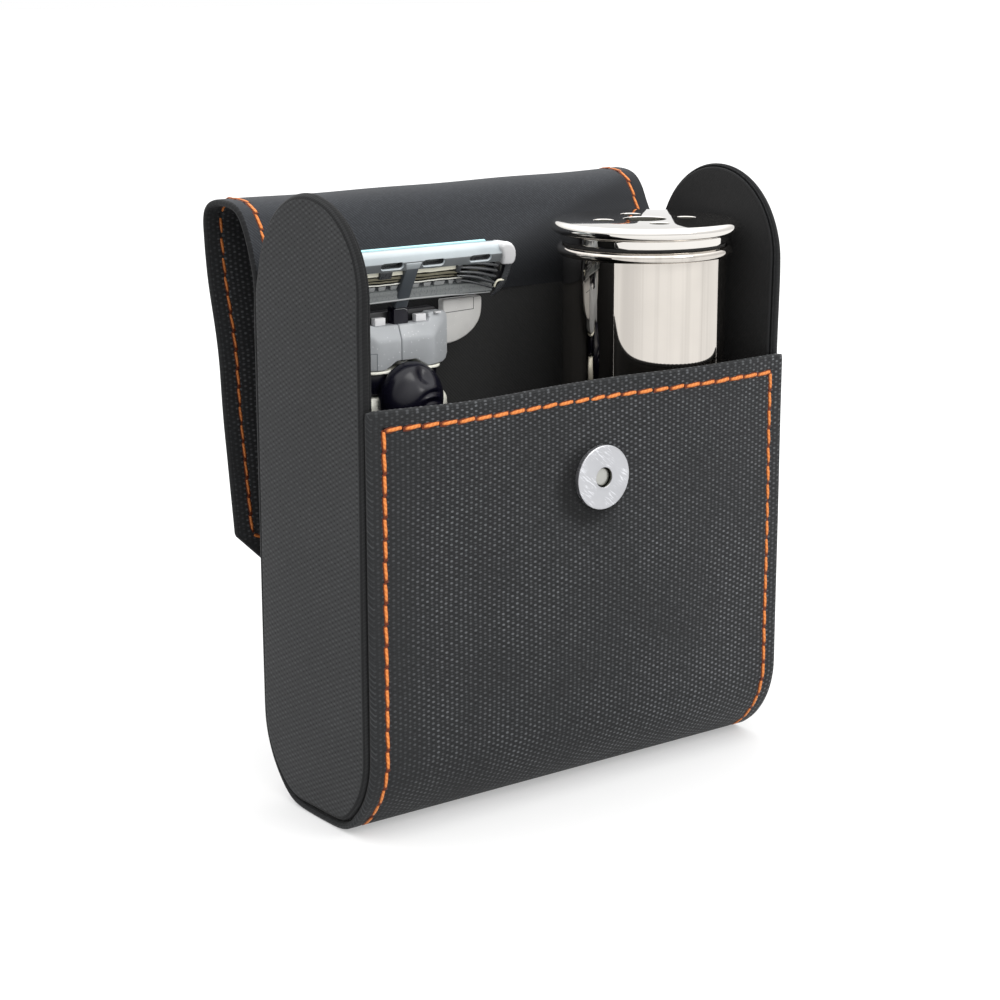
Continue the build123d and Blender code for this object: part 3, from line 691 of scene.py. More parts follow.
# ------------------------------------------------------ the strip's course
R_OUT, ZC, T = 16.3, math.sqrt(16.3**2 - 49.0), 1.1
R_MID = R_OUT - T / 2
Z_MOUTH, W2 = 69.4, 42.5
FLAP_LEN = [11.55, 9.5, 15.2, 15.46, 44.6]
FLAP_OPEN = [29.0, 90.0, 189.3, 185.2, 188.0]
CORNER = 22.0
PITCH = 3.45
ROW = 39.6        # the stitching's distance from the middle
ROW_Z = 66.4      # height of the stitching along the pocket's mouth


def flap_nodes():
    pts = [(15.75, 84.9)]
    for n, a in zip(FLAP_LEN, FLAP_OPEN):
        y, z = pts[-1]
        pts.append((y + n * math.sin(math.radians(a)), z + n * math.cos(math.radians(a))))
    return pts


PIV = flap_nodes()


def d_of(a):
    return (math.sin(math.radians(a)), math.cos(math.radians(a)))


def round_low(r, a):
    """Point (y, z) of the rounded bottom at radius r and angle a, from the front (0) to the back (180).
    The cloth settles on the table in a soft flat."""
    y, c = -r * math.cos(math.radians(a)), ZC - r * math.sin(math.radians(a))
    base = R_OUT - r
    c -= base
    e = 1.1

    def sm(x):
        return 0.5 * (x + math.sqrt(x * x + e * e))

    return y, base + sm(c) - sm(ZC - R_OUT) * (1 - smooth01(c / 5.0))


def course_steps():
    z, out = Z_MOUTH - T / 2, []
    while z > ZC + 0.3:
        out.append(z)
        z -= 0.33 if abs(z - ROW_Z) < 1.6 else 0.575
    return out


def case_course():
    """Middle line (y, z) of the strip from the pocket's mouth round the bottom and up the back."""
    outer = [(-R_OUT, z) for z in course_steps()]
    outer += [round_low(R_OUT, 180.0 * i / 88) for i in range(89)]
    z = ZC + 0.575
    while z < 80.19 - 0.3:
        outer.append((R_OUT, z))
        z += 0.575
    outer.append((R_OUT, 80.2))
    nor = normals_of(outer)
    s = 1.0 if nor[5][0] < 0 else -1.0
    return [(y - s * ny * T / 2, z - s * nz * T / 2) for (y, z), (ny, nz) in zip(outer, nor)]


def hinge_course(k, cut_before, cut_after, h, step=0.45):
    """Middle line of the cloth across hinge k, bent smoothly from the direction before the hinge to the one after it.
    """
    a0 = FLAP_OPEN[k - 1] if k else 0.0
    a1 = FLAP_OPEN[k]
    P = PIV[k]
    db, da = d_of(a0), d_of(a1)
    A = (P[0] - h * db[0], P[1] - h * db[1])
    B = (P[0] + h * da[0], P[1] + h * da[1])
    ab = (B[0] - A[0], B[1] - A[1])
    l2 = ab[0] ** 2 + ab[1] ** 2
    out = []
    n0, n1 = max(2, math.ceil(cut_before / step)), max(2, math.ceil(cut_after / step))
    rho = [-cut_before * (1 - i / n0) for i in range(n0)] + [cut_after * i / n1 for i in range(n1 + 1)]
    for r in rho:
        w = 0.5
        for _ in range(60):
            d = d_of(a0 + (a1 - a0) * w)
            p = (P[0] + r * d[0], P[1] + r * d[1])
            t = ((p[0] - A[0]) * ab[0] + (p[1] - A[1]) * ab[1]) / l2
            w = 0.5 * w + 0.5 * smooth01(t)
        out.append(p)
    return out, A, B


HALF = [4.7, 4.75, 4.75, 6.5, 7.0]


def normals_of(course):
    """Unit normals of a (y, z) polyline."""
    out = []
    n = len(course)
    for i in range(n):
        a, b = course[max(0, i - 1)], course[min(n - 1, i + 1)]
        dy, dz = b[0] - a[0], b[1] - a[1]
        l = math.hypot(dy, dz) or 1.0
        out.append((dz / l, -dy / l))
    return out


def course_len(course):
    s = [0.0]
    for i in range(1, len(course)):
        s.append(s[-1] + math.hypot(course[i][0] - course[i - 1][0], course[i][1] - course[i - 1][1]))
    return s


def xs_of():
    """Places across the cloth, closer together at the rows of stitches."""
    e = W2 - T / 2
    half = [ROW - 1.5 + 0.2 * i for i in range(16)] + [e]
    inner = [0.45 * i for i in range(1, 85) if 0.45 * i < ROW - 1.6]
    half = sorted(inner + half)
    return [-x for x in half[::-1]] + [0.0] + half


# gentle unevenness of the whole cloth, in mm
def ripple(x, s, seed=0.0):
    return (
        0.10 * math.sin(x * 0.11 + s * 0.045 + seed)
        + 0.07 * math.sin(x * 0.23 - s * 0.08 + 1.7 + seed)
        + 0.05 * math.sin(s * 0.19 + x * 0.05 + 0.6)
    )


def swell(x, y, z):
    """How far the strip stands out beyond its plain course at a place."""
    if y < -10:
        g = smooth01((z - 8) / 40)
        v = 0.75 * bump(x, -24, 15) * smooth01((z - 30) / 38)
        v += 0.35 * bump(x, 22, 14) * g
        v += 0.5 * bump(x, 0, 26) * bump(z, 30, 22)
        v -= 0.35 * bump(x, 5, 9) * smooth01((z - 52) / 16)
        edge = smooth01((W2 - abs(x)) / 5.0)
        return v * edge
    if y > 10:
        return 0.5 * bump(x, 0, 26) * bump(z, 40, 26)
    return 0.0


def pull(d, s):
    """How far a row of stitches pulls the cloth in, at d beside the row and s along it."""
    g = math.exp(-((d / 0.42) ** 2))
    return g * 0.13 + math.exp(-((d / 1.1) ** 2)) * (0.05 + 0.045 * math.cos(2 * math.pi * s / PITCH))


CASE = case_course()
CASE_N = normals_of(CASE)
CASE_S = course_len(CASE)
SIGN = 1.0 if CASE_N[5][0] < 0 else -1.0
S_ROW = next(CASE_S[i] for i in range(len(CASE)) if CASE[i][1] <= ROW_Z)


def case_point(i, x, off):
    (y, z), (ny, nz) = CASE[i], CASE_N[i]
    ny, nz = ny * SIGN, nz * SIGN
    d = swell(x, y, z) + (ripple(x, CASE_S[i]) if z > 3 else 0.0) * min(1.0, (W2 - abs(x)) / 4 + 0.25)
    if off > 0:
        if y > 0 or z < ROW_Z + 0.6:
            d -= pull(abs(x) - ROW, CASE_S[i] - S_ROW) * smooth01(z / 3.0)
        if y < 0 and abs(x) < ROW:
            d -= pull(z - ROW_Z, x + ROW)
    dip = 0.0
    if y < -10 and z > Z_MOUTH - 12:
        # the mouth sags a little where the razor and the canister push it
        k = 1 - (Z_MOUTH - z) / 12
        dip = k * k * (0.42 * bump(x, -22, 13) + 0.12 * bump(x, 24, 12))
        # threads of the weave show along the rim
        dip += 0.055 * math.cos(math.pi * x / 0.45) * max(0.0, 1 - (Z_MOUTH - z) / 1.4)
    return (x, y + ny * (d + off), z + nz * (d + off) - dip)


def build_case_strip():
    xs = xs_of()
    top = [[case_point(i, x, T / 2) for x in xs] for i in range(len(CASE))]
    bot = [[case_point(i, x, -T / 2) for x in xs] for i in range(len(CASE))]

    def uv(i, j):
        x = xs[j]
        front = smooth01((-CASE[i][0] + 4) / 6)
        # painted shade: the 0.62 term dulls the weave over the front's left side, where the front curves away from the
        # light; the other two terms are the pressed border beyond the stitching
        p = max(smooth01((-x - 39.2) / 1.5) * 0.72, 0.62 * smooth01((-x - 29.0) / 10.0) * front, smooth01((x - 40.3) / 2.2) * 0.35)
        return x, CASE_S[i], p

    o = slab("case_strip", top, bot, uv, ["nylon", "nylon_edge", "lining_bay"], k=6)
    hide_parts("outer_shell", "shell_lining", "shell_stiffener")
    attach(o, "case")
    return o


STRIP = build_case_strip()


# --------------------------------------------------------------- side walls
Z_TOPC = 85.45


def wall_line(rf, rr):
    """Outline (y, z, my, mz) of a side wall going round: a point and its foot on the middle line.
    rf is its half depth at the front and over the top, rr at the back below the flap."""
    def r_of(z):
        return rf + (rr - rf) * (1 - smooth01((z - 83.0) / 5.0))

    out = []
    n_arc, n_line = 56, 90
    for i in range(n_arc + 1):
        a = math.radians(180 - 180 * i / n_arc)
        z = Z_TOPC + rf * math.sin(a)
        r = rf if i < n_arc / 2 else r_of(z)
        out.append((r * math.cos(a), z, 0.0, Z_TOPC))
    for i in range(1, n_line):
        z = Z_TOPC + (ZC - Z_TOPC) * i / n_line
        out.append((r_of(z), z, 0.0, z))
    n_low = 72
    for i in range(n_low + 1):
        a = 180.0 - 180.0 * i / n_low
        r = rf + (rr - rf) * smooth01((a - 90.0) / 60.0)
        y, z = round_low(r, a)
        out.append((y, z, 0.0, ZC))
    for i in range(1, n_line):
        z = ZC + (Z_TOPC - ZC) * i / n_line
        out.append((-rf, z, 0.0, z))
    return out


def side_wall(name, side, profile, line, mats, idx_of, press_of, replaces, lean):
    """Panel turned over an outline. profile: (inset from the outline, |x|)."""
    n = len(line)
    verts, cloth, faces, idx = [], [], [], []
    for ins, ax in profile:
        for (y, z, my, mz) in line:
            r = math.hypot(y - my, z - mz)
            f = max(0.0, 1 - ins / r) if ins < 14.0 else 0.0
            py, pz = my + (y - my) * f, mz + (z - mz) * f
            x = side * (ax + lean(py, pz, ins, ax))
            verts.append((x, py, pz))
            cloth.append((py, pz, press_of(ins, ax, py, pz)))
    for i in range(len(profile) - 1):
        for s in range(n):
            t = (s + 1) % n
            faces.append((i * n + s, i * n + t, (i + 1) * n + t, (i + 1) * n + s))
            idx.append(idx_of(i))
    o = add(name, verts, faces, mats, idx, cloth, 50.0, merge=0.002)
    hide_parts(*replaces)
    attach(o, "case")
    return o


def wall_profile(x_out, x_in, roll, k=8):
    """Profile of a panel whose edge is folded round: outer face, rolled edge, inner face."""
    out = [(14.6 - (14.6 - roll) * i / 23, x_out) for i in range(24)]
    out[0] = (14.6, x_out)
    for i in range(1, k + 1):
        a = math.pi / 2 * i / k
        out.append((roll * (1 - math.sin(a)), x_out - roll * (1 - math.cos(a))))
    h = (x_out - roll - x_in)
    if h > 0.05:
        for i in range(1, 5):
            a = math.pi / 2 * i / 4
            out.append((0.6 * (1 - math.cos(a)), x_out - roll - h * math.sin(a)))
    for i in range(1, 9):
        out.append((0.6 + (14.6 - 0.6) * i / 8, x_in))
    return out


def belly(y, z):
    """The side wall's outer face swells over the contents."""
    return 0.62 * smooth01((93 - z) / 12) * smooth01((z + 2) / 16) * (1 - 0.55 * (y / 15.5) ** 2)


for side, nm in ((-1, "left"), (1, "right")):
    ox = 0.0 if side < 0 else 0.32      # the right wall leans outward at its top

    def shift(z, ox=ox):
        return ox * smooth01((z - 66) / 20) + 0.08 * math.sin(z * 0.06)

    line = wall_line(14.98, 15.70)
    prof = wall_profile(42.45, 41.05, 1.05)
    side_wall(
        f"{nm}_side_wall", side, prof, line, ["nylon_side", "wall_edge_painted_shade", "rim"], lambda i: 0 if i < 24 else 2 if i in (26, 27) else 1,
        lambda ins, ax, y, z: 0.25,
        [f"{nm}_gusset_outer", f"{nm}_gusset_board"],
        lambda y, z, ins, ax: shift(z) + (belly(y, z) * smooth01((ax - 41.0) / 1.2)),
    )
    line = wall_line(14.42, 15.10)
    prof = wall_profile(41.0, 40.3, 0.35)
    side_wall(
        f"{nm}_side_lining", side, prof, line, ["lining_painted_shade", "nylon_edge"], lambda i: 0 if i < 20 or i > 31 else 1,
        lambda ins, ax, y, z: 0.85 if ins < 0.5 else 0.0, [f"{nm}_gusset_lining"],
        lambda y, z, ins, ax: shift(z),
    )
    # thin piping in the seam between the two layers
    line = wall_line(14.66, 15.36)
    V, F, C = [], [], []
    seg = 8
    for (y, z, my, mz) in line:
        d = Vector((0, y - my, z - mz)).normalized()
        for j in range(seg):
            b = 2 * math.pi * j / seg
            q = Vector((side * (41.03 + shift(z)), y, z)) + d * (0.13 * math.cos(b)) + Vector((0.13 * math.sin(b), 0, 0))
            V.append(tuple(q)); C.append((z, y, 0.6))
    n = len(line)
    for i in range(n):
        for j in range(seg):
            F.append((i * seg + j, ((i + 1) % n) * seg + j, ((i + 1) % n) * seg + (j + 1) % seg, i * seg + (j + 1) % seg))
    o = add(f"{nm}_side_piping", V, F, ["nylon_edge"], None, C, 60.0)
    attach(o, "case")


# --------------------------------------------------------------------- flap
# The flap's own middle line when it is folded back: steep rise, round crown, long fall.
BASE = [
    (15.75, 80.2), (15.75, 82.6), (16.25, 85.6), (17.45, 88.5), (19.0, 91.2), (20.75, 93.7), (22.7, 95.7), (25.0, 96.85),
    (27.4, 96.85), (29.6, 95.7), (31.2, 93.6), (31.85, 90.6), (31.55, 86.4), (30.4, 81.6), (28.9, 76.8), (27.8, 71.9),
    (27.25, 66.5), (26.75, 61.0), (26.0, 55.5), (25.2, 49.5), (24.3, 43.0), (23.2, 35.0), (22.1, 28.0), (20.85, 20.99),
]
BASE_CUT = [0.0, 0.1026, 0.2086, 0.3367, 0.4887, 1.0]
_P = np.array(BASE)
_t = np.concatenate([[0], np.cumsum(np.linalg.norm(np.diff(_P, axis=0), axis=1))])
_f = spline(_t, _P)
_dense = np.array([_f(_t[-1] * i / 1200) for i in range(1201)])
_s = np.concatenate([[0], np.cumsum(np.linalg.norm(np.diff(_dense, axis=0), axis=1))])


def base_at(f):
    return (float(np.interp(f * _s[-1], _s, _dense[:, 0])), float(np.interp(f * _s[-1], _s, _dense[:, 1])))


def lam(k, t):
    """How far the cloth follows its own round line rather than the hinges' plain bends."""
    if k == 0:
        return 0.8 * t if t < 0.5 else 0.4 + 0.4 * (t - 0.5)
    if k < 3:
        return 0.6
    if k == 3:
        return 0.6 + 0.25 * t
    return 0.85 + 0.15 * smooth01((t - 0.35) / 0.65)


FLAP = []
for k in range(5):
    before = [4.7, FLAP_LEN[0] - 5.775, FLAP_LEN[1] - 4.75, FLAP_LEN[2] - 7.6, FLAP_LEN[3] - 7.73][k]
    after = [5.775, 4.75, 7.6, 7.73, FLAP_LEN[4] - T / 2][k]
    c, A, B = hinge_course(k, before, after, HALF[k], 0.45 if k < 4 else 0.55)
    s = course_len(c)
    mixed = []
    for p, sp in zip(c, s):
        t = sp / s[-1]
        g = base_at(BASE_CUT[k] + (BASE_CUT[k + 1] - BASE_CUT[k]) * t)
        l = lam(k, t)
        mixed.append((p[0] + (g[0] - p[0]) * l, p[1] + (g[1] - p[1]) * l))
    FLAP.append((mixed, A, B, c))
BODIES = ["case", "flap_1", "flap_2", "flap_3", "flap_4", "flap_panel"]

# one continuous middle line, its normals and its length, so that neighbours match
WHOLE, PLAIN, START = [], [], []
for k, (c, A, B, h) in enumerate(FLAP):
    START.append(len(WHOLE))
    WHOLE += c if k == 0 else c[1:]
    PLAIN += h if k == 0 else h[1:]
LEAD = [(R_MID, 79.6)]
N_ALL = normals_of(LEAD + WHOLE)[1:]
S_ALL = [CASE_S[-1] + s for s in course_len(WHOLE)]


def half_width(s_from_end):
    """Half width of the cloth at a distance from the free end."""
    if s_from_end >= CORNER:
        return W2
    return W2 - (CORNER - s_from_end)


def flap_range(k):
    a = START[k] if k == 0 else START[k] - 1
    b = (START[k + 1] - 1) if k < 4 else len(WHOLE) - 1
    return a, b


S_END = S_ALL[-1] + T / 2
ROW_IN = 3.0


def row_inset(s):
    """Distance of the stitching from the flap's side edge, measured across."""
    if s >= CORNER + 0.5:
        return ROW_IN
    if s > CORNER - 1.25:
        return ROW_IN + 0.6
    return ROW_IN * math.sqrt(2)


def flap_point(i, f, off):
    """f from -1 to 1 across, off the height above the middle line."""
    (y, z), (ny, nz) = WHOLE[i], N_ALL[i]
    ny, nz = ny * SIGN, nz * SIGN
    s = S_ALL[i]
    hw = half_width(S_END - s) - T / 2
    x = f * hw
    t = (s - S_ALL[0]) / (S_ALL[-1] - S_ALL[0])
    d = ripple(x, s, 2.0) * smooth01((s - S_ALL[0]) / 8.0) * 0.8
    d += 0.45 * math.sin(math.pi * min(1.0, t * 1.0)) * bump(x, 0, 24)
    edge = hw + T / 2 - abs(x)
    if abs(off) > 0:
        pin = pull(edge - row_inset(S_END - s), s)
        if S_END - s < 8 and edge > ROW_IN:
            pin = max(pin, pull(S_END - s - ROW_IN, x))
        d -= pin * (1 if off > 0 else -1)
    # the crown stands askew: forward at its left end, back at its right
    y += 1.3 * (x / W2) * smooth01((z - 83) / 9) / (1 + math.exp(min(40.0, (y - 28.5) / 1.1)))
    z += (0.55 + 0.28 * (1 + x / W2)) * smooth01((z - 84) / 10)
    return (x, y + ny * (off + d), z + nz * (off + d))


def flap_fs():
    e = [1 - 0.0052 * i for i in range(0, 22)]
    inner = [i / 52 for i in range(1, 46) if i / 52 < e[-1] - 0.006]
    half = sorted(inner + e)
    return [-x for x in half[::-1]] + [0.0] + half


def build_flap():
    fs = flap_fs()
    out = []
    for k in range(5):
        a, b = flap_range(k)
        rows = list(range(a, b + 1))
        top = [[flap_point(i, f, T / 2) for f in fs] for i in rows]
        bot = [[flap_point(i, f, -T / 2) for f in fs] for i in rows]

        def uv(i, j):
            s = S_ALL[rows[i]]
            hw = half_width(S_END - s) - T / 2
            x = fs[j] * hw
            edge = min(hw - abs(x), S_END - s)
            # painted shade: the 0.40 term dulls the weave over the flap past its first 12 mm, for the shade inside the
            # flap's loop; the 0.75 term is the pressed edge
            return x, s, max(0.40 * smooth01((s - S_ALL[0]) / 12), 0.75 * smooth01((2.4 - edge) / 1.4))

        # the lining's third value here is painted shadow: darker below a slanting line across the lining, on the part
        # inside the case
        def uv_painted_shadow(i, j):
            s = S_ALL[rows[i]]
            x = fs[j] * (half_width(S_END - s) - T / 2)
            y, z = WHOLE[rows[i]]
            inside = 1 / (1 + math.exp(min(40.0, (y - 24.0) / 0.8)))
            return x, s, 0.97 * smooth01((89.9 - 0.27 * (18.2 - x) - z) / 2.6 + 0.5) * inside

        o = flap_slab(f"flap_cloth_{k + 1}", top, bot, uv, last=(k == 4), uv_painted_shadow=uv_painted_shadow)
        names = [["flap_strip_1"], ["flap_strip_2"], ["flap_strip_3"], ["flap_strip_4"], ["flap_outer_panel", "flap_lining_panel"]][k]
        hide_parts(*names)
        _, A, B, _h = FLAP[k]
        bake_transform(o)
        out.append(o)
    return out


def flap_slab(name, top, bot, uv, last, uv_painted_shadow):
    """Like slab, but only the sides, and the end of the last piece, are rounded."""
    nu, nv = len(top), len(top[0])
    verts, cloth, faces, idx = [], [], [], []
    for g, where in ((top, uv), (bot, uv_painted_shadow)):
        for i in range(nu):
            for j in range(nv):
                verts.append(g[i][j])
                cloth.append(where(i, j))
    B = nu * nv
    for i in range(nu - 1):
        for j in range(nv - 1):
            a, b, c, d = i * nv + j, (i + 1) * nv + j, (i + 1) * nv + j + 1, i * nv + j + 1
            faces.append((a, b, c, d)); idx.append(0)
            faces.append((B + d, B + c, B + b, B + a)); idx.append(2)
    k = 6
    path = [(i, 0) for i in range(nu)]
    if last:
        path += [(nu - 1, j) for j in range(1, nv)] + [(i, nv - 1) for i in range(nu - 2, -1, -1)]
        paths = [path]
    else:
        paths = [path, [(i, nv - 1) for i in range(nu - 1, -1, -1)]]
    ends = []
    for path in paths:
        rows = []
        for m, (i, j) in enumerate(path):
            t, b = np.array(top[i][j]), np.array(bot[i][j])
            jj = 1 if j == 0 else (nv - 2 if j == nv - 1 else j)
            ii = nu - 2 if (last and i == nu - 1) else i
            out = (t + b) / 2 - (np.array(top[ii][jj]) + np.array(bot[ii][jj])) / 2
            half = (t - b) / 2
            r = np.linalg.norm(half)
            n = half / r
            out = out - n * (out @ n)
            out /= np.linalg.norm(out)
            row = [i * nv + j]
            u, v, p = uv(i, j)
            for e in range(1, k):
                a = math.pi * e / k
                row.append(len(verts))
                verts.append(tuple((t + b) / 2 + n * r * math.cos(a) + out * r * math.sin(a)))
                cloth.append((u, v, max(p, 0.8)))
            row.append(B + i * nv + j)
            rows.append(row)
        for m in range(len(rows) - 1):
            p, q = rows[m], rows[m + 1]
            for e in range(k):
                faces.append((p[e], q[e], q[e + 1], p[e + 1])); idx.append(1)
        ends.append(rows)
    # close the cut ends
    first = ends[0][0]
    lastrow = ends[-1][-1]
    ring = [j for j in range(nv)] + lastrow[1:-1] + [B + j for j in range(nv - 1, -1, -1)] + first[1:-1][::-1]
    faces.append(tuple(ring)); idx.append(1)
    if not last:
        o0, o1 = ends[0][-1], ends[1][0]
        ring = [(nu - 1) * nv + j for j in range(nv)] + o1[1:-1] + [B + (nu - 1) * nv + j for j in range(nv - 1, -1, -1)] + o0[1:-1][::-1]
        faces.append(tuple(ring[::-1])); idx.append(1)
    return add(name, verts, faces, ["nylon", "nylon_edge", "lining"], idx, cloth, 50.0)


FLAP_CLOTH = build_flap()
for k, o in enumerate(FLAP_CLOTH):
    a, b = flap_range(k)


# ---------------------------------------------------------------- stitching
def stitches(name, line, body, blend=None, replaces=(), pitch=PITCH, slant=5.0, width=0.70, mat="thread", over=0.0):
    cs = spread(line, pitch)
    V, F, C = stitch_run([(p, t) for p, t, n in cs], [n for p, t, n in cs], width, pitch - 0.14 + over, slant=slant)
    o = add(name, V, F, [mat], None, C, 70.0)
    if replaces:
        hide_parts(*replaces)
    if blend:
        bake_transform(o)
    else:
        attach(o, body)
    return o


def case_line(x, idxs):
    return [(Vector(case_point(i, x, T / 2)), Vector((0, CASE_N[i][0] * SIGN, CASE_N[i][1] * SIGN))) for i in idxs]


# rows on the pocket: down the left, across the top, down the right
i_top = min(range(40), key=lambda i: abs(CASE[i][1] - ROW_Z))
i_low = next(i for i in range(len(CASE)) if CASE[i][1] < 1.6)
row_t = []
for m in range(121):
    x = -ROW + 2 * ROW * m / 120
    p = Vector(case_point(i_top, x, T / 2))
    row_t.append((p, Vector((0, -1, 0))))
stitches("pocket_stitches_top", row_t, "case", replaces=["front_stitching"], slant=5.0, pitch=3.33)
for sx, nm in ((-1, "left"), (1, "right")):
    idxs = list(range(i_low, i_top - 1, -1))
    stitches(f"pocket_stitches_{nm}", case_line(sx * ROW, idxs), "case", slant=4.0, pitch=3.45 if sx < 0 else 3.3, width=0.66)
i_back0 = next(i for i in range(len(CASE) - 1, 0, -1) if CASE[i][1] < 1.8) + 1
for sx, nm in ((-1, "left"), (1, "right")):
    stitches(f"back_stitches_{nm}", case_line(sx * ROW, range(i_back0, len(CASE))), "case", slant=4.0)


def flap_line(k, sx, side):
    """Stitch line along one edge of the flap piece; side 1 on the nylon, -1 on the lining."""
    a, b = flap_range(k)
    out = []
    for i in range(a, b + 1):
        s = S_END - S_ALL[i]
        if k == 4 and s < 3.1:
            break
        hw = half_width(s)
        f = sx * (hw - row_inset(s)) / (hw - T / 2)
        p = Vector(flap_point(i, f, side * T / 2))
        n = Vector((0, N_ALL[i][0] * SIGN * side, N_ALL[i][1] * SIGN * side))
        out.append((p, n))
    return out[::-1]


for k in range(5):
    _, A, B, _h = FLAP[k]
    bl = (BODIES[k], BODIES[k + 1], (0, A[0] * MM, A[1] * MM), (0, B[0] * MM, B[1] * MM))
    for sx, nm in ((-1, "left"), (1, "right")):
        for side, sn in ((1, "outer"), (-1, "inner")):
            line = flap_line(k, sx, side)
            outer = side > 0
            stitches(f"flap_stitches_{nm}_{sn}_{k + 1}", line, None, bl, ["flap_stitching"] if (k == 4 and sx < 0 and outer) else (),
                     pitch=3.1, width=0.50 if outer else 0.64, mat="thread_dark" if outer else "thread", over=0.0 if outer else 0.3)
# across the free end
i_end = min(range(len(WHOLE)), key=lambda i: abs(S_END - S_ALL[i] - ROW_IN))
for side, sn in ((1, "outer"), (-1, "inner")):
    hw = half_width(ROW_IN)
    line = []
    for m in range(41):
        x = (hw - ROW_IN * math.sqrt(2) + 1.2) * (-1 + 2 * m / 40)
        p = Vector(flap_point(i_end, x / (hw - T / 2), side * T / 2))
        line.append((p, Vector((0, N_ALL[i_end][0] * SIGN * side, N_ALL[i_end][1] * SIGN * side))))
    _, A, B, _h = FLAP[4]
    stitches(f"flap_stitches_end_{sn}", line, None, (BODIES[4], BODIES[5], (0, A[0] * MM, A[1] * MM), (0, B[0] * MM, B[1] * MM)))


# --------------------------------------------------------------------- snap
SX, SZ = 2.2, 53.37


def disc_profile(r, h):
    p = [(0.0, h - 0.56), (0.8, h - 0.565), (1.30, h - 0.58), (1.42, h - 0.64), (1.46, h - 0.90)]
    p += [(1.62, h - 0.90), (1.64, h - 0.16), (1.68, h - 0.05), (1.76, h)]
    p += [(2.6, h + 0.005), (3.6, h), (r - 0.35, h - 0.01), (r - 0.16, h - 0.04), (r - 0.04, h - 0.13), (r, h - 0.28)]
    p += [(r, 0.15), (r - 0.15, 0.0), (0.0, 0.0)]
    return p


# the pin hole's floor and wall take the dark hole metal: painted shade in the recess
o = lathe("snap_socket_disc", disc_profile(5.3, 1.05), (SX, -16.3 - 0.1, SZ + 0.12), (0, -1, 0), ["snap", "pin", "hole"], 120, idx_of=lambda i: 1 if i < 4 else 2 if i < 6 else 0)
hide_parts("snap_socket_cover", "snap_socket_rivet")
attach(o, "case")
paint("snap_magnet", "magnet")
paint("snap_socket_washer", "snap")

# stud half on the flap: disc on the lining with a pin, as the socket expects
pd = Vector((0, *d_of(188.0)))
want = Vector((0, PIV[4][0], PIV[4][1])) + pd * 38.43
i_st = min(range(len(PLAIN)), key=lambda i: (PLAIN[i][0] - want.y) ** 2 + (PLAIN[i][1] - want.z) ** 2)
# out of the lining, away from the nylon
pn = Vector((0, -N_ALL[i_st][0] * SIGN, -N_ALL[i_st][1] * SIGN))
pc = Vector(flap_point(i_st, SX / (half_width(S_END - S_ALL[i_st]) - T / 2), -T / 2))
prof = [(0.0, 2.0), (0.9, 1.98), (1.16, 1.9), (1.30, 1.72), (1.34, 1.5), (1.34, 1.22), (1.75, 1.2), (2.3, 1.2), (4.4, 1.2), (4.5, 1.15), (4.6, 1.2)]
prof += arc_pts(5.0, 0.7, 0.5, 90, 0, 5) + [(5.5, 0.1), (5.4, 0.0), (0.0, 0.0)]
o = lathe("snap_stud_disc", prof, tuple(pc - pn * 0.05), tuple(pn), ["snap"], 120)
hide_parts("snap_stud_plate", "snap_stud_washer")
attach(o, "flap_panel")

# ----------------------------------------------------------------- canister
CX, CY = 24.0, -1.0


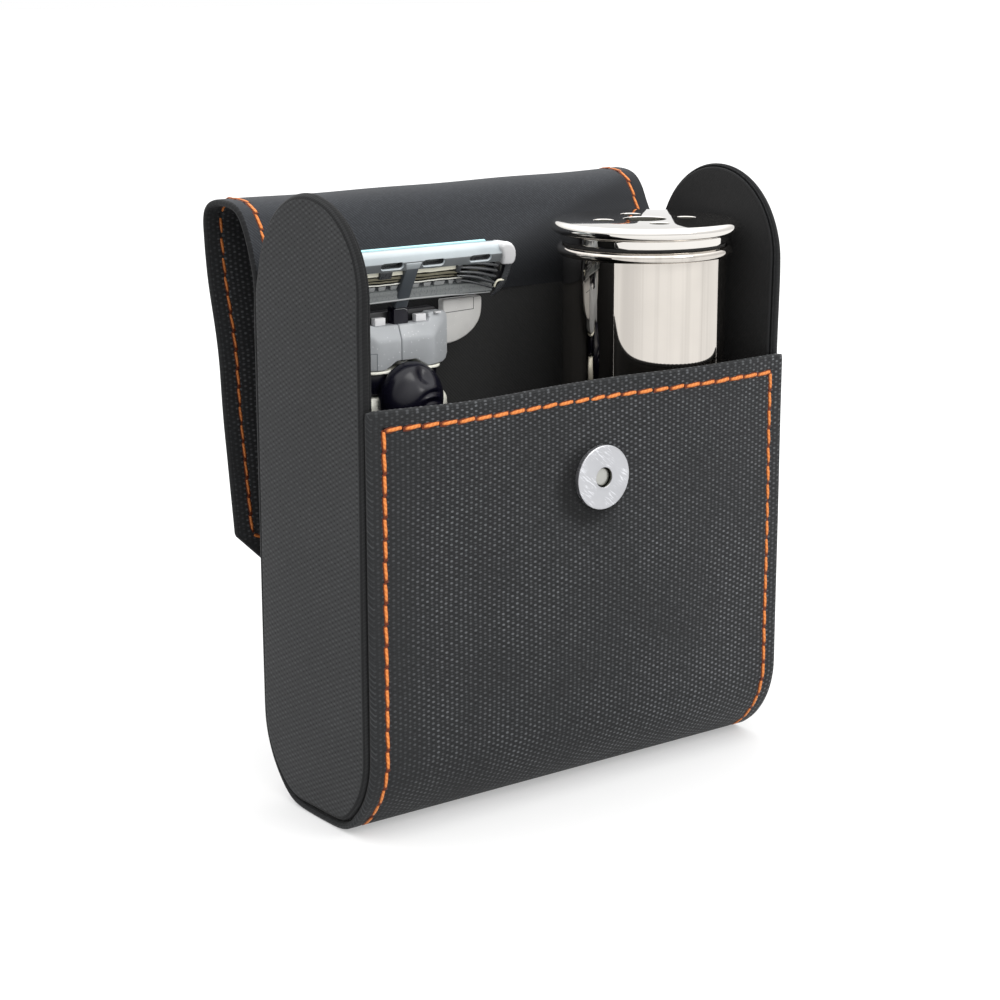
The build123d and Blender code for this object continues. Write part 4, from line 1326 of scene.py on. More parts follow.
def build_canister():
    z0, top, R, RI = 9.6, 88.1, 13.9, 13.0
    p = [(0.0, z0)] + [(R - 3.0 + 3.0 * math.sin(a), z0 + 3.0 - 3.0 * math.cos(a)) for a in [math.pi / 2 * i / 10 for i in range(11)]]
    p += [(R, 14.0 + 2.0 * i) for i in range(36)] + [(R, 86.3), (R - 0.15, 87.9), (R - 0.3, top), (RI + 0.15, top), (RI, 87.9)]
    p += [(RI, 60.0), (RI, 20.0), (RI, 11.3), (RI - 0.6, 10.8), (0.0, 10.8)]
    o = lathe("canister_body", p, (CX, CY, 0), (0, 0, 1), ["chrome"], 160, angle=50)
    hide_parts("canister_tube"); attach(o, "canister")
    # rolled ring, two beads
    p = [(R - 0.05, 86.3)] + arc_pts(14.10, 87.2, 0.86, -86, 60, 14) + [(14.44, 88.02), (14.3, 88.12), (R - 0.05, 88.14), (R - 0.05, 86.3)]
    o = lathe("canister_bead", p, (CX, CY, 0), (0, 0, 1), ["chrome"], 160, angle=40)
    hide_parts("canister_ring"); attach(o, "canister")
    # cap: flat top with five holes, rounded rim, neck and spigot
    seg = 160
    zt, zb = 92.2, 91.0
    bm = bmesh.new()
    holes = [(CX, CY, 3.6)] + [(CX + 7.35 * math.cos(math.radians(a)), CY + 7.35 * math.sin(math.radians(a)), 1.65) for a in (-21, 69, 159, 249)]

    def plate(z, grow, r_out):
        es = []
        for (x, y, r, n) in [(CX, CY, r_out, seg)] + [(hx, hy, hr + grow, 72 if hr > 2 else 48) for hx, hy, hr in holes]:
            vs = [bm.verts.new(Vector((x + r * math.cos(2 * math.pi * i / n), y + r * math.sin(2 * math.pi * i / n), z)) * MM) for i in range(n)]
            es += [bm.edges.new((vs[i], vs[(i + 1) % n])) for i in range(n)]
        bmesh.ops.triangle_fill(bm, use_beauty=True, use_dissolve=False, edges=es)

    plate(zt, 0.12, 14.75)
    plate(zb, 0.0, 11.5)

    def wall(rings):
        for ra, rb in zip(rings, rings[1:]):
            n = len(ra)
            va = [bm.verts.new(Vector(p) * MM) for p in ra]
            vb = [bm.verts.new(Vector(p) * MM) for p in rb]
            for i in range(n):
                bm.faces.new((va[i], va[(i + 1) % n], vb[(i + 1) % n], vb[i]))

    for hx, hy, hr in holes:
        n = 72 if hr > 2 else 48
        prof = [(hr + 0.12, zt), (hr + 0.03, zt - 0.06), (hr, zt - 0.14), (hr, zb)]
        wall([[(hx + r * math.cos(2 * math.pi * i / n), hy + r * math.sin(2 * math.pi * i / n), z) for i in range(n)] for r, z in prof])
    prof = [(14.75, zt)] + arc_pts(14.90, 91.14, 1.04, 84, -84, 16) + [(14.6, 90.06), (14.42, 89.92), (14.35, 89.7), (14.35, 88.9), (14.25, 88.66), (12.7, 88.66), (12.7, 82.2), (12.5, 82.0), (11.7, 82.0), (11.5, 82.2), (11.5, zb)]
    wall([[(CX + r * math.cos(2 * math.pi * i / seg), CY + r * math.sin(2 * math.pi * i / seg), z) for i in range(seg)] for r, z in prof])
    bmesh.ops.remove_doubles(bm, verts=bm.verts, dist=2e-7)
    bmesh.ops.recalc_face_normals(bm, faces=bm.faces)
    me = bpy.data.meshes.new("canister_cap")
    bm.to_mesh(me); bm.free()
    me.materials.append(M["chrome_lid"])
    me.materials.append(M["hole"])
    # the hole walls take the dark hole metal: painted shade inside the holes
    for p in me.polygons:
        c = p.center / MM
        if abs(p.normal.z) < 0.1 and c.z > zb + 0.05 and c.z < zt - 0.15 and math.hypot(c.x - CX, c.y - CY) < 11:
            p.material_index = 1
    me.polygons.foreach_set("use_smooth", [abs(p.normal.z) < 0.9995 for p in me.polygons])
    me.set_sharp_from_angle(angle=math.radians(33))
    o = bpy.data.objects.new("canister_cap", me)
    scene.collection.objects.link(o)
    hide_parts("vented_cap"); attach(o, "cap")


build_canister()
paint("cap_seal_ring", "seal")
paint("brush_base", "black")
paint("brush_knot", "bristle")

# -------------------------------------------------------------------- razor
RX = -19.3
TILT = math.radians(22)
OB = Vector((RX, 7.4, 80.75))
EX, EY, EZ = Vector((1, 0, 0)), Vector((0, -math.sin(TILT), math.cos(TILT))), Vector((0, -math.cos(TILT), -math.sin(TILT)))


def cart(a, b, d):
    return tuple(OB + EX * a + EY * b + EZ * d)


def rrect(x0, x1, y0, y1, r, n=5):
    out = []
    for cx, cy, a in ((x1 - r, y1 - r, 0), (x0 + r, y1 - r, 90), (x0 + r, y0 + r, 180), (x1 - r, y0 + r, 270)):
        out += arc_pts(cx, cy, r, a, a + 90, n)
    return out


def slot_ring(cx, cy, w, h, grow, low=0.0, n=8):
    """Slot outline; low lets the lower side grow further than the upper."""
    r = h / 2
    pts = [(cx + w / 2 - r + (r + grow) * math.cos(math.radians(a)), cy + (r + grow) * math.sin(math.radians(a))) for a in [-90 + 180 * i / n for i in range(n + 1)]]
    pts += [(cx - w / 2 + r + (r + grow) * math.cos(math.radians(a)), cy + (r + grow) * math.sin(math.radians(a))) for a in [90 + 180 * i / n for i in range(n + 1)]]
    return [(x, y - low * max(0.0, (cy - y) / (r + grow))) for x, y in pts]


def raw_mesh(name, V, F):
    me = bpy.data.meshes.new(name)
    me.from_pydata([tuple(v) for v in V], [], F)
    bm = bmesh.new(); bm.from_mesh(me)
    bmesh.ops.recalc_face_normals(bm, faces=bm.faces)
    bm.to_mesh(me); bm.free()
    o = bpy.data.objects.new(name, me)
    scene.collection.objects.link(o)
    return o


def extruded(sec, a0, a1):
    """Closed section (b, d) drawn out along a."""
    n = len(sec)
    V = [(a0, b, d) for b, d in sec] + [(a1, b, d) for b, d in sec]
    F = [(m, (m + 1) % n, n + (m + 1) % n, n + m) for m in range(n)] + [tuple(range(n)), tuple(range(n, 2 * n))[::-1]]
    return V, F


def slotted_bar():
    """The cartridge's top bar with its slots cut through."""
    sec = [(6.05, -0.40), (6.07, -0.12), (6.18, -0.01), (6.35, 0.0), (7.45, 0.0), (7.60, -0.02), (7.78, -0.07), (8.45, -0.38), (8.66, -0.55), (8.85, -0.82), (8.95, -1.2)]
    sec += [(8.90, -1.8), (8.72, -2.4), (8.42, -3.0), (8.0, -3.5), (7.4, -3.6), (7.2, -2.4), (7.2, -1.5), (6.6, -1.3), (6.1, -1.1)]
    V, F = extruded(sec, -17.45, 17.45)
    # the ends are cut back towards the far side
    V = [(math.copysign(17.45 - 0.28 * max(0.0, -d - 1.0), a), b, d) for a, b, d in V]
    bar = raw_mesh("cartridge_top_bar", V, F)
    tools = []
    for x in (-13.17, -4.16, 3.85, 13.17):
        rings = [(0.5, 0.30, 0.10), (0.03, 0.16, 0.06), (-0.16, 0.02, 0.0), (-0.26, 0.0, 0.0), (-5.0, 0.0, 0.0)]
        V, F = [], []
        m = 0
        for d, g, low in rings:
            pts = slot_ring(x, 7.10, 4.15, 1.0, g, low)
            m = len(pts)
            V += [(a, b, d) for a, b in pts]
        for i in range(len(rings) - 1):
            for j in range(m):
                F.append((i * m + j, i * m + (j + 1) % m, (i + 1) * m + (j + 1) % m, (i + 1) * m + j))
        F += [tuple(range(m)), tuple(range((len(rings) - 1) * m, len(rings) * m))[::-1]]
        t = raw_mesh("slot_tool", V, F)
        mod = bar.modifiers.new("cut", "BOOLEAN")
        mod.operation, mod.solver, mod.object = "DIFFERENCE", "EXACT", t
        tools.append(t)
    bpy.context.view_layer.update()
    me = bpy.data.meshes.new_from_object(bar.evaluated_get(bpy.context.evaluated_depsgraph_get()))
    bar.modifiers.clear()
    old = bar.data
    bar.data = me
    bpy.data.meshes.remove(old)
    for t in tools:
        d = t.data
        bpy.data.objects.remove(t)
        bpy.data.meshes.remove(d)
    me.materials.clear()
    for m in ("white", "bar_grey", "rib"):
        me.materials.append(M[m])
    # the pale plastic on the rounded top and edge is a painted highlight; the flat back face keeps the darker bar grey;
    # the slot walls' dark rib grey is painted shade
    for p in me.polygons:
        c = p.center
        inside = any(abs(c.x - x) < 2.5 for x in (-13.17, -4.16, 3.85, 13.17)) and 6.3 < c.y < 7.9
        if c.z < -0.28 and inside and c.z > -3.4 and abs(p.normal.z) < 0.5 and abs(p.area) > 0:
            p.material_index = 2
        elif c.z > -0.03 and c.y < 7.55 and p.normal.z > 0.9:
            p.material_index = 1
        else:
            p.material_index = 0
    for v in me.vertices:
        v.co = Vector(cart(*v.co)) * MM
    me.polygons.foreach_set("use_smooth", [abs(p.normal.z) < 0.999 for p in me.polygons])
    me.set_sharp_from_angle(angle=math.radians(30))
    me.update()
    return bar


def build_cartridge():
    body = "cartridge"
    HW = 17.5

    def fin(o, nodes=()):
        if nodes:
            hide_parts(*nodes)
        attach(o, body)
        return o

    def sect(name, sec, a0, a1, mat, nodes=(), angle=32.0):
        V, F = extruded(sec, a0, a1)
        return fin(add(name, [cart(*v) for v in V], F, [mat], None, None, angle), nodes)

    fin(slotted_bar(), ["cartridge_frame"])
    # what shows through the slots, and the pale strip on the far side
    fin(prism("cartridge_slot_back", rrect(-HW + 0.8, HW - 0.8, 6.2, 7.9, 0.3), cart, -1.9, -1.3, ["carrier"], 0.0))
    fin(prism("cartridge_strip", rrect(-HW + 0.6, HW - 1.2, 7.0, 8.30, 0.15), cart, -3.95, -3.45, ["strip"], 0.06, 2), ["lubricating_strip"])
    fin(prism("cartridge_guard", rrect(-HW + 0.3, HW - 0.3, 0.05, 0.95, 0.3), cart, -3.8, -2.6, ["guard"], 0.1, 2), ["guard_bar"])
    # carrier below the blades: a smooth hollow band; its lower lip is a light grey rod, a painted highlight
    sec = [(2.15, -1.25), (2.0, -0.95), (1.75, -0.80), (1.35, -0.72), (0.95, -0.62), (0.68, -0.48), (0.52, -0.40), (0.36, -0.42), (0.24, -0.55), (0.18, -0.85), (0.12, -1.6), (0.1, -3.4), (2.1, -3.4)]
    sect("cartridge_carrier", sec, -HW, HW, "carrier")
    fin(rod("carrier_lip_painted_highlight", [(-HW + 0.4, 0.42, -0.40), (-9, 0.36, -0.40), (-1.2, 0.50, -0.37), (1.2, 0.56, -0.37), (6.0, 0.48, -0.37), (9.3, 0.40, -0.40), (13.5, 0.22, -0.45), (HW - 0.2, 0.12, -0.5)], [0.12, 0.14, 0.15, 0.15, 0.17, 0.12, 0.10, 0.08], ["carrier_light"], 8, to3=cart))
    # dark back plate, so that nothing shows through between the blades
    fin(prism("carrier_back", rrect(-HW + 0.3, HW - 0.3, 0.3, 6.3, 0.3), cart, -3.3, -2.6, ["black"], 0.05, 1))
    # blades: thin bent steel, seen from behind
    def blade(nm, node, rows, th, mat, a0, a1, seed):
        V, F = [], []
        m = 70
        for j in range(m + 1):
            x = a0 + (a1 - a0) * j / m
            w = 0.03 * math.sin(x * 0.9 + seed) + 0.02 * math.sin(x * 2.3 + 2 * seed)
            ring = [(b + w, d + th / 2) for b, d in rows] + [(b + w, d - th / 2) for b, d in rows[::-1]]
            n = len(ring)
            V += [cart(x, b, d) for b, d in ring]
        for j in range(m):
            for q in range(n):
                F.append((j * n + q, j * n + (q + 1) % n, (j + 1) * n + (q + 1) % n, (j + 1) * n + q))
        F.append(tuple(range(n))); F.append(tuple(m * n + q for q in range(n))[::-1])
        return fin(add(nm, V, F, [mat], None, None, 25.0), [node] if node else ())

    # the upper blade's lit length is in the pale plastic, a painted reflection on the steel; the darker copy of the
    # steel is painted shade
    blade("blade_1", "upper_blade", [(5.62, -0.86), (5.05, -0.72)], 0.12, "cream", -9.4, 9.1, 0.3)
    blade("blade_1_bend", None, [(5.03, -0.76), (4.75, -1.15), (4.6, -2.4)], 0.12, "blade_painted_shade", -15.5, 15.5, 0.3)
    blade("blade_2", "middle_blade", [(4.62, -1.0), (4.22, -0.90), (4.05, -1.3), (3.95, -2.4)], 0.12, "blade_painted_shade", -15.0, 14.0, 1.3)
    blade("blade_2_rim", None, [(3.86, -1.12), (3.62, -1.06)], 0.10, "blade_painted_shade", -13.0, 12.0, 2.0)
    blade("blade_3", "lower_blade", [(3.42, -0.92), (3.26, -0.82), (3.12, -1.06), (3.0, -2.4)], 0.12, "blade", -15.0, 13.4, 2.4)
    # dark posts painted as the shadow between the lit lengths of the upper blade
    for j, (p0, p1) in enumerate(((-5.95, -3.6), (-13.5, -12.6), (9.1, 10.0))):
        fin(prism(f"blade_painted_shadow_post_{j}", rrect(p0, p1, 4.6, 5.95, 0.15, 2), cart, -1.2, -0.30, ["rib"], 0.1, 2))
    # row of light windows on the carrier under the lower blade
    cells = [(1.4, 2.85), (3.65, 5.15), (5.7, 7.9), (8.6, 9.65), (10.3, 11.4)]
    for j, (p0, p1) in enumerate(cells + [(-p1, -p0) for p0, p1 in cells]):
        fin(prism(f"carrier_window_{j}", [(p0, 2.86), (p0 + 0.15, 2.12), (p1 - 0.15, 2.12), (p1, 2.86)], cart, -1.6, -1.05, ["carrier_light"], 0.1, 2))
    fin(prism("carrier_window_back", rrect(-13.5, 13.5, 2.0, 3.1, 0.2), cart, -1.9, -1.35, ["rib"], 0.05, 1))
    # fanned ribs at both ends
    fan = [((5.95, 5.95, 5.15), 0.26), ((5.30, 5.02, 4.15), 0.30), ((4.50, 4.18, 3.05), 0.30), ((3.80, 3.35, 1.95), 0.30), ((3.00, 2.30, 1.00), 0.22)]
    for s in (-1, 1):
        for j, ((b0, b1, b2), r) in enumerate(fan):
            pts = curve_through([(9.6, b0 + 0.05, -0.62), (11.6, (b0 * 0.55 + b1 * 0.45) + 0.1, -0.42), (13.6, b1, -0.30), (15.6, (b1 * 0.45 + b2 * 0.55) + 0.08, -0.32), (17.4, b2, -0.50)], 22)
            fin(rod(f"rib_{'lr'[s > 0]}_{j}", [(s * a, b, d) for a, b, d in pts], [r * (0.55 + 0.45 * smooth01(i / 5)) for i in range(22)], ["rib"], 10, 1.3, cart))
        # end cap: rounded shell over the bar's end, falling away to the far side
        out = [(16.75, 8.95), (17.1, 9.38), (17.6, 9.60), (18.3, 9.55), (19.05, 9.20), (19.7, 8.62), (20.15, 7.9), (20.45, 7.0), (20.5, 6.1), (20.3, 5.55), (19.9, 5.32), (18.2, 5.42), (17.95, 5.75), (17.8, 6.8), (17.45, 7.6), (17.0, 8.25)]
        out = [(s * a, b) for a, b in out]
        if s < 0:
            out = out[::-1]
        o = prism(f"end_cap_{'lr'[s > 0]}", out, cart, -3.5, 0.26, ["cap_white"], 0.5, 6, warp=lambda a, b, d: (a, b - 0.536 * max(0.0, -d - 0.9) * smooth01((b - 5.4) / 2.0), d))
        fin(o, ["cartridge_end_caps"] if s > 0 else ())
        # dark guard below the cap, a thin curved blade of plastic with a lighter rim
        o = prism(f"end_clip_{'lr'[s > 0]}", [(s * a, b) for a, b in ([(17.6, 5.4), (17.6, 0.2), (19.0, 0.1), (19.7, 1.5), (20.0, 3.4), (20.1, 5.4)] if s < 0 else [(20.1, 5.4), (20.0, 3.4), (19.7, 1.5), (19.0, 0.1), (17.6, 0.2), (17.6, 5.4)])], cart, -3.6, -1.4, ["black"], 0.2, 2)
        fin(o)
        edge = curve_through([(20.15, 5.5, -1.0), (20.2, 3.6, -1.0), (19.95, 1.6, -1.05), (19.3, -0.3, -1.3), (18.7, -1.4, -1.6)], 18)
        fin(rod(f"end_guard_{'lr'[s > 0]}", [(s * a, b, d) for a, b, d in edge], [0.30] * 12 + [0.28, 0.25, 0.22, 0.18, 0.14, 0.08], ["rib"], 8, 2.2, cart))
        # metal clip that folds round the end, in the pale plastic colour: painted reflection
        hook = curve_through([(20.0, 1.98, -0.95), (19.3, 2.02, -0.9), (18.7, 1.95, -0.9), (18.4, 1.6, -0.9), (18.3, 0.8, -0.95)], 16)
        fin(rod(f"end_hook_{'lr'[s > 0]}", [(s * a, b, d) for a, b, d in hook], 0.19, ["cream"], 8, 1.0, cart))
        fin(rod(f"end_pin_{'lr'[s > 0]}", [(s * 18.35, 4.95, -0.75), (s * 18.4, 4.5, -0.75), (s * 18.55, 3.95, -0.8)], 0.2, ["blade"], 8, 1.0, cart))
    # back arm: a lighter grey head that grows out of the bar, painted light where the arm faces up, and a slate shank
    o = prism("arm_head", [(-1.60, 7.42), (1.50, 7.42), (1.34, 6.7), (1.24, 6.15), (-1.32, 6.15), (-1.46, 6.7)][::-1], cart, -0.6, 0.10, ["arm_head"], 0.16, 3, warp=lambda a, b, d: (a, b, d - 0.12 * smooth01((6.9 - b) / 0.8)))
    fin(o, ["back_arm"])
    arm = [(-1.30, 6.45), (1.20, 6.45), (1.20, 4.0), (1.12, 2.0), (0.98, -1.1), (-1.46, -1.1), (-1.38, 2.0), (-1.30, 4.0)]
    fin(prism("arm", arm[::-1], cart, -1.5, 0.0, ["arm"], 0.22, 3, warp=lambda a, b, d: (a, b, d - 0.45 * smooth01((6.2 - b) / 4.0))))


build_cartridge()


def xz():
    return lambda a, b, d: (RX + a, d, b)


def build_neck():
    # connector: two halves with a fine seam, notch in the top, cut-away over the button
    y1, y0 = 12.9, 7.2

    def face(a, b, d):
        """The front leans back above and turns away at both sides; the creases meet at the upper corners."""
        w = smooth01((y1 - 2.6 - d) / 2.2)
        lean = 0.40 * max(0.0, b - 74.9)
        turn = 0.43 * max(0.0, abs(a) - 5.5)
        return a, b, d + w * (lean**5 + turn**5) ** 0.2

    cuts = [((0, 74.5 + 0.42 * i, 0), (0, 1, 0)) for i in range(10)]
    cuts += [((s * (5.1 + 0.42 * i), 0, 0), (1, 0, 0)) for i in range(10) for s in (-1, 1)]
    sx = -0.85
    right = [(sx + 0.03, 77.3), (sx + 0.03, 71.5), (1.95, 71.5), (4.25, 70.15), (7.9, 70.25), (8.85, 70.7), (9.3, 71.7), (9.3, 77.8), (8.9, 78.5), (8.1, 78.72), (5.65, 78.72), (5.3, 78.45), (5.45, 77.9), (4.95, 77.3)]
    left = [(sx - 0.03, 71.5), (sx - 0.03, 77.3), (-5.1, 77.3), (-5.9, 77.5), (-6.7, 77.9), (-7.4, 78.6), (-8.6, 78.72), (-9.1, 78.45), (-9.3, 77.8), (-9.3, 71.7), (-8.85, 70.7), (-7.9, 70.25), (-4.1, 70.15), (-1.75, 71.5)]
    for nm, out in (("connector_right", right[::-1]), ("connector_left", left[::-1])):
        q = prism(nm, out, xz(), y1, y0, ["grey"], 0.24, 3, 40, warp=face, cuts=cuts)
        if nm == "connector_right":
            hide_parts("cartridge_connector")
        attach(q, "razor")
    # latch low on the left: two fine grooves
    for nm, x0, x1, z0, z1 in (("connector_groove_a", -5.72, -5.58, 70.3, 73.1), ("connector_groove_b", -9.0, -5.6, 73.0, 73.12)):
        q = prism(nm, [(x0, z0), (x1, z0), (x1, z1), (x0, z1)], xz(), y0 + 0.5, y0 - 0.006, ["grey_line"], 0.0, 1, 30, warp=face, cuts=cuts)
        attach(q, "razor")
    # white tabs behind the notch, and a sliver of light in the shoulder
    for s, x in (("l", -4.0), ("r", 4.0)):
        q = prism(f"connector_tab_{s}", rrect(x - 1.02, x + 1.02, 77.3, 78.55, 0.15, 3), xz(), 9.9, 8.7, ["cap_white"], 0.12, 2)
        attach(q, "razor")
    q = prism("connector_slit", rrect(6.4, 7.5, 78.45, 78.72, 0.1, 2), xz(), 9.0, 7.98, ["cap_white"], 0.05, 2)
    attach(q, "razor")
    # dark hollow behind the notch
    q = prism("connector_hollow", rrect(-8.0, 8.0, 76.6, 79.2, 0.3, 3), xz(), 12.6, 10.4, ["black"], 0.2, 2)
    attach(q, "razor")
    # side lobes: quarter-round wings with a fine step line
    for s in (-1, 1):
        pts = curve_through([(16.8, 79.9), (16.78, 78.3), (16.33, 76.5), (15.3, 75.1), (13.75, 74.0), (12.2, 73.33), (10.6, 72.98), (9.0, 72.85)], 26)
        pts = [(8.9, 80.3), (16.6, 80.35)] + pts
        pts = [(s * a, b) for a, b in pts]
        if s > 0:
            pts = pts[::-1]
        q = prism(f"lobe_{'lr'[s > 0]}", pts, xz(), 11.0, 9.4, ["lobe"], 0.3, 3, 40)
        if s > 0:
            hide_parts("connector_wings")
        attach(q, "razor")
        for nm, w in (("a", [(15.0, 80.2), (15.13, 80.2), (15.13, 78.2), (15.0, 78.25)]), ("b", [(9.2, 78.02), (15.13, 78.2), (15.0, 78.33), (9.2, 78.15)])):
            w = [(s * a, b) for a, b in w]
            q = prism(f"lobe_line_{'lr'[s > 0]}_{nm}", w if s > 0 else w[::-1], xz(), 10.0, 9.394, ["lobe_line"], 0.0)
            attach(q, "razor")
    # dark housing behind the button
    V, F = [], []
    rings = [(66.15, 7.2, 3.0), (66.4, 7.4, 3.2), (69.1, 7.5, 3.25), (69.5, 7.4, 3.1)]
    n = 40
    for z, a, b in rings:
        for i in range(n):
            t = 2 * math.pi * i / n
            c, s = math.cos(t), math.sin(t)
            V.append((RX + a * math.copysign(abs(c) ** 0.6, c), 10.8 + b * math.copysign(abs(s) ** 0.6, s), z))
    for i in range(len(rings) - 1):
        for j in range(n):
            k = (j + 1) % n
            F.append((i * n + j, i * n + k, (i + 1) * n + k, (i + 1) * n + j))
    F.append(tuple(range(n))[::-1]); F.append(tuple((len(rings) - 1) * n + j for j in range(n)))
    q = add("neck_block", V, F, ["navy"], None, None, 40.0)
    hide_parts("neck_housing"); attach(q, "razor")
    # plate between housing and connector, wholly in the handle's pale non-metal top colour: painted reflection
    q = prism("neck_rim", rrect(-8.0, 8.0, 7.25, 13.6, 2.9, 8), lambda a, b, d: (RX + a, b, d), 69.62, 70.08, ["handle"], 0.14, 3)
    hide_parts("neck_plate"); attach(q, "razor")
    for nd in ("button_spring", "plunger_spring"):
        paint(nd, "spring")
    # plunger, with a fine light grey rod on its tip as a painted highlight
    q = prism("plunger_pin", rrect(-1.4, 1.4, 74.0, 79.95, 0.25, 3), xz(), 10.6, 8.6, ["navy"], 0.2, 2)
    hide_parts("plunger"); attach(q, "plunger")
    q = rod("plunger_painted_highlight", [(RX - 1.15, 8.58, 79.75), (RX + 0.6, 8.58, 79.72), (RX + 1.1, 8.6, 79.5), (RX + 1.2, 8.62, 79.2)], [0.05, 0.07, 0.07, 0.03], ["carrier_light"], 6)
    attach(q, "plunger")


build_neck()


def build_button():
    """Domed button with a thumb hollow high on the right and two small ridges below it."""
    rings, seg, R = 44, 120, 6.05
    bx, bz = 0.15, 65.3
    V, F = [], []
    for i in range(rings + 1):
        t = i / rings
        r = R * math.sin(t * math.pi / 2) ** 0.95 if i else 0.0
        for j in range(seg):
            a = 2 * math.pi * j / seg
            x, z = r * math.cos(a), r * math.sin(a)
            q = r / R
            h = 4.3 * (1 - q**2.2) ** 0.62
            # flatter facet on the upper left
            h -= 0.85 * smooth01((z - 0.9 * x - 1.6) / 4.5) * smooth01((1.02 - q) / 0.5)
            h -= 1.05 * math.exp(-(((x - 1.1) / 1.25) ** 2 + ((z - 3.9) / 1.5) ** 2))
            h += 0.30 * math.exp(-(((x - 1.9) / 1.6) ** 2 + ((z - 2.3 + 0.05 * (x - 1.9) ** 2) / 0.6) ** 2))
            h -= 0.26 * math.exp(-(((x - 1.8) / 1.9) ** 2 + ((z - 1.35 + 0.10 * (x - 1.8) ** 2) / 0.32) ** 2))
            h += 0.20 * math.exp(-(((x - 1.7) / 1.9) ** 2 + ((z - 0.75 + 0.11 * (x - 1.7) ** 2) / 0.35) ** 2))
            h -= 0.30 * math.exp(-(((x - 1.5) / 2.1) ** 2 + ((z + 0.05 + 0.12 * (x - 1.5) ** 2) / 0.40) ** 2))
            V.append((RX + bx + x, 6.4 - max(0.0, h), bz + z))
    for i in range(rings):
        for j in range(seg):
            k = (j + 1) % seg
            F.append((i * seg + j, i * seg + k, (i + 1) * seg + k, (i + 1) * seg + j))
    b = len(V)
    for r, y in ((R, 6.75), (R - 0.3, 7.0)):
        for j in range(seg):
            a = 2 * math.pi * j / seg
            V.append((RX + bx + r * math.cos(a), y, bz + r * math.sin(a)))
    for j in range(seg):
        k = (j + 1) % seg
        F.append((rings * seg + j, rings * seg + k, b + k, b + j))
        F.append((b + j, b + k, b + seg + k, b + seg + j))
    F.append(tuple(b + seg + j for j in range(seg)))
    o = add("button_dome", V, F, ["navy"], None, None, 60.0, merge=0.001)
    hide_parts("release_button"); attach(o, "button")
    q = prism("button_stem", rrect(-1.8, 1.8, 62.0, 64.0, 0.3, 3), xz(), 10.4, 6.8, ["black"], 0.15, 2)
    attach(q, "button")


build_button()


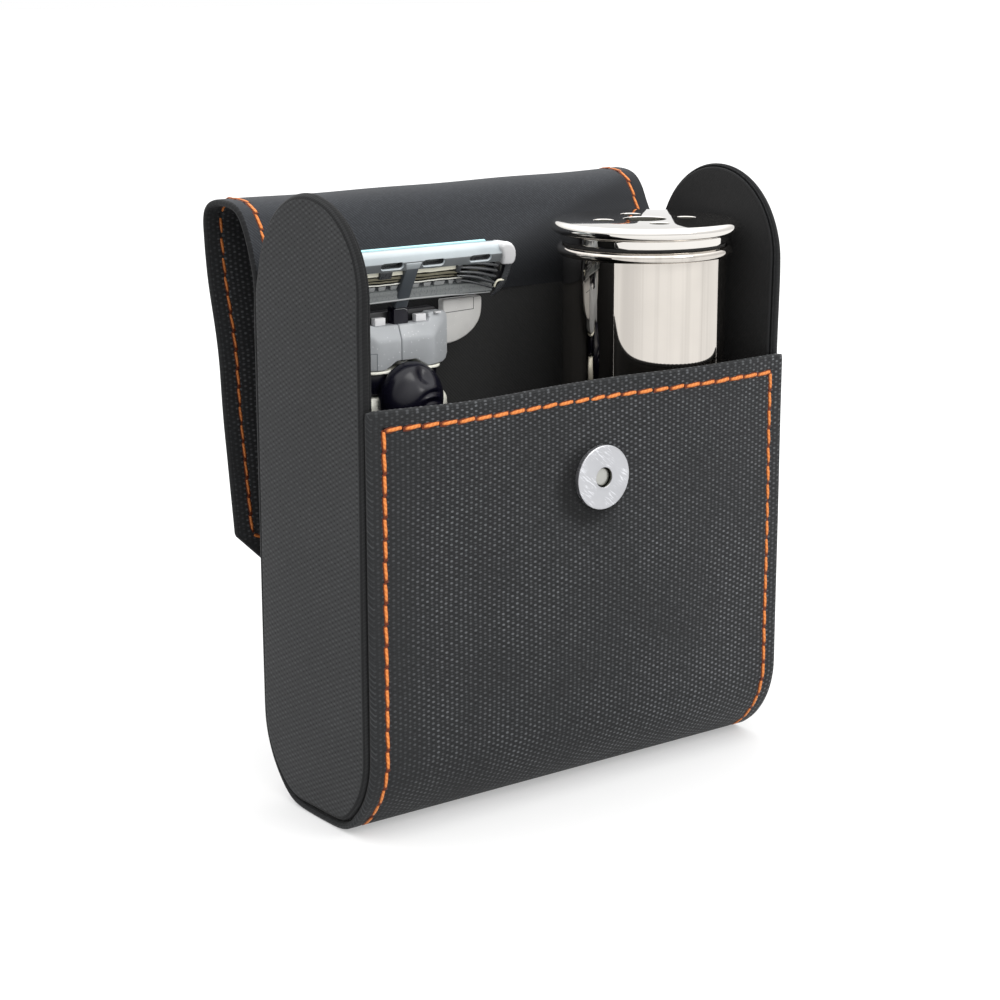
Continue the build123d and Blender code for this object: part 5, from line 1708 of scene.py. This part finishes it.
def build_handle():
    """Chromed handle, round at the grip and wide at the neck, with dark grip rings."""
    secs = []
    zs = [12.0 + (65.75 - 12.0) * i / 120 for i in range(121)]
    for z in zs:
        if z < 38:
            a = b = 4.7
            y = 9.8
            if 18.5 < z < 34.5:
                g = math.sin((z - 18.5) / 16 * math.pi * 8) ** 2
                a = b = 4.7 - 0.32 * g
        else:
            t = smooth01((z - 38) / 25)
            a, b = 4.7 + 4.85 * t**1.3, 4.7 - 1.4 * t
            y = 9.8
            if z > 63.6:
                u = (z - 63.6) / 2.15
                a -= 1.3 * u**2.2
                b -= 0.3 * u**2
        secs.append((z, a, b, y))
    V, F, idx = [], [], []
    n = 64
    for z, a, b, y in secs:
        for j in range(n):
            t = 2 * math.pi * j / n
            V.append((RX + a * math.cos(t), y + b * math.sin(t), z))
    for i in range(len(secs) - 1):
        g = 18.5 < secs[i][0] < 34.5 and (secs[i][1] + secs[i + 1][1]) / 2 < 4.58
        for j in range(n):
            k = (j + 1) % n
            F.append((i * n + j, i * n + k, (i + 1) * n + k, (i + 1) * n + j)); idx.append(1 if g else 0)
    F.append(tuple(range(n))[::-1]); idx.append(0)
    F.append(tuple((len(secs) - 1) * n + j for j in range(n))); idx.append(0)
    o = add("handle_bar", V, F, ["handle", "grip"], idx, None, 40.0)
    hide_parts("razor_handle"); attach(o, "razor")
    p = [(0.0, 7.3)] + [(4.7 * math.sin(a), 12.0 - 4.7 * math.cos(a)) for a in [math.pi / 2 * i / 12 for i in range(1, 13)]] + [(4.55, 12.05), (0.0, 12.05)]
    o = lathe("handle_foot", p, (RX, 9.8, 0), (0, 0, 1), ["handle"], 64)
    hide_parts("handle_end_cap"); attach(o, "razor")


build_handle()

# ------------------------------------------------------------- floor, light
floor_mat = Nodes("floor")
floor_mat.set(Base_Color=(0.42, 0.42, 0.42), Roughness=0.9)
floor_mat.bsdf.inputs["Specular IOR Level"].default_value = 0.1
floor_mat.bsdf.inputs["Emission Color"].default_value = (1.0, 1.0, 1.0, 1.0)
floor_mat.bsdf.inputs["Emission Strength"].default_value = 0.38
me = bpy.data.meshes.new("floor")
me.from_pydata([(-6, -6, 0), (6, -6, 0), (6, 6, 0), (-6, 6, 0)], [], [(0, 1, 2, 3)])
me.materials.append(floor_mat.mat)
fl = bpy.data.objects.new("floor", me)
scene.collection.objects.link(fl)

# a white room, brighter overhead
world = bpy.data.worlds.new("studio")
scene.world = world
world.use_nodes = True
wt = world.node_tree
wt.nodes.clear()
bg = wt.nodes.new("ShaderNodeBackground")
wo = wt.nodes.new("ShaderNodeOutputWorld")
co = wt.nodes.new("ShaderNodeTexCoord")
sep = wt.nodes.new("ShaderNodeSeparateXYZ")
ramp = wt.nodes.new("ShaderNodeMapRange")
ramp.interpolation_type = "SMOOTHSTEP"
for i, v in enumerate((0.20, 0.95, 1.0, 2.7)):
    ramp.inputs[i + 1].default_value = v
wt.links.new(co.outputs["Generated"], sep.inputs[0])
wt.links.new(sep.outputs[2], ramp.inputs[0])
wt.links.new(ramp.outputs[0], bg.inputs[1])
wt.links.new(bg.outputs[0], wo.inputs[0])
bg.inputs[0].default_value = (1.0, 1.0, 1.0, 1)


def area(name, loc, tgt, size, power, color=(1, 1, 1)):
    li = bpy.data.lights.new(name, "AREA")
    li.energy, li.color = power, color
    li.shape = "DISK"
    li.size = size
    ob = bpy.data.objects.new(name, li)
    scene.collection.objects.link(ob)
    ob.location = loc
    ob.rotation_mode = "QUATERNION"
    ob.rotation_quaternion = (Vector(tgt) - Vector(loc)).to_track_quat("-Z", "Y")
    return ob


area("key", (0.30, -0.80, 0.75), (0, 0, 0.05), 0.45, 3.0, (1.0, 0.99, 0.97))
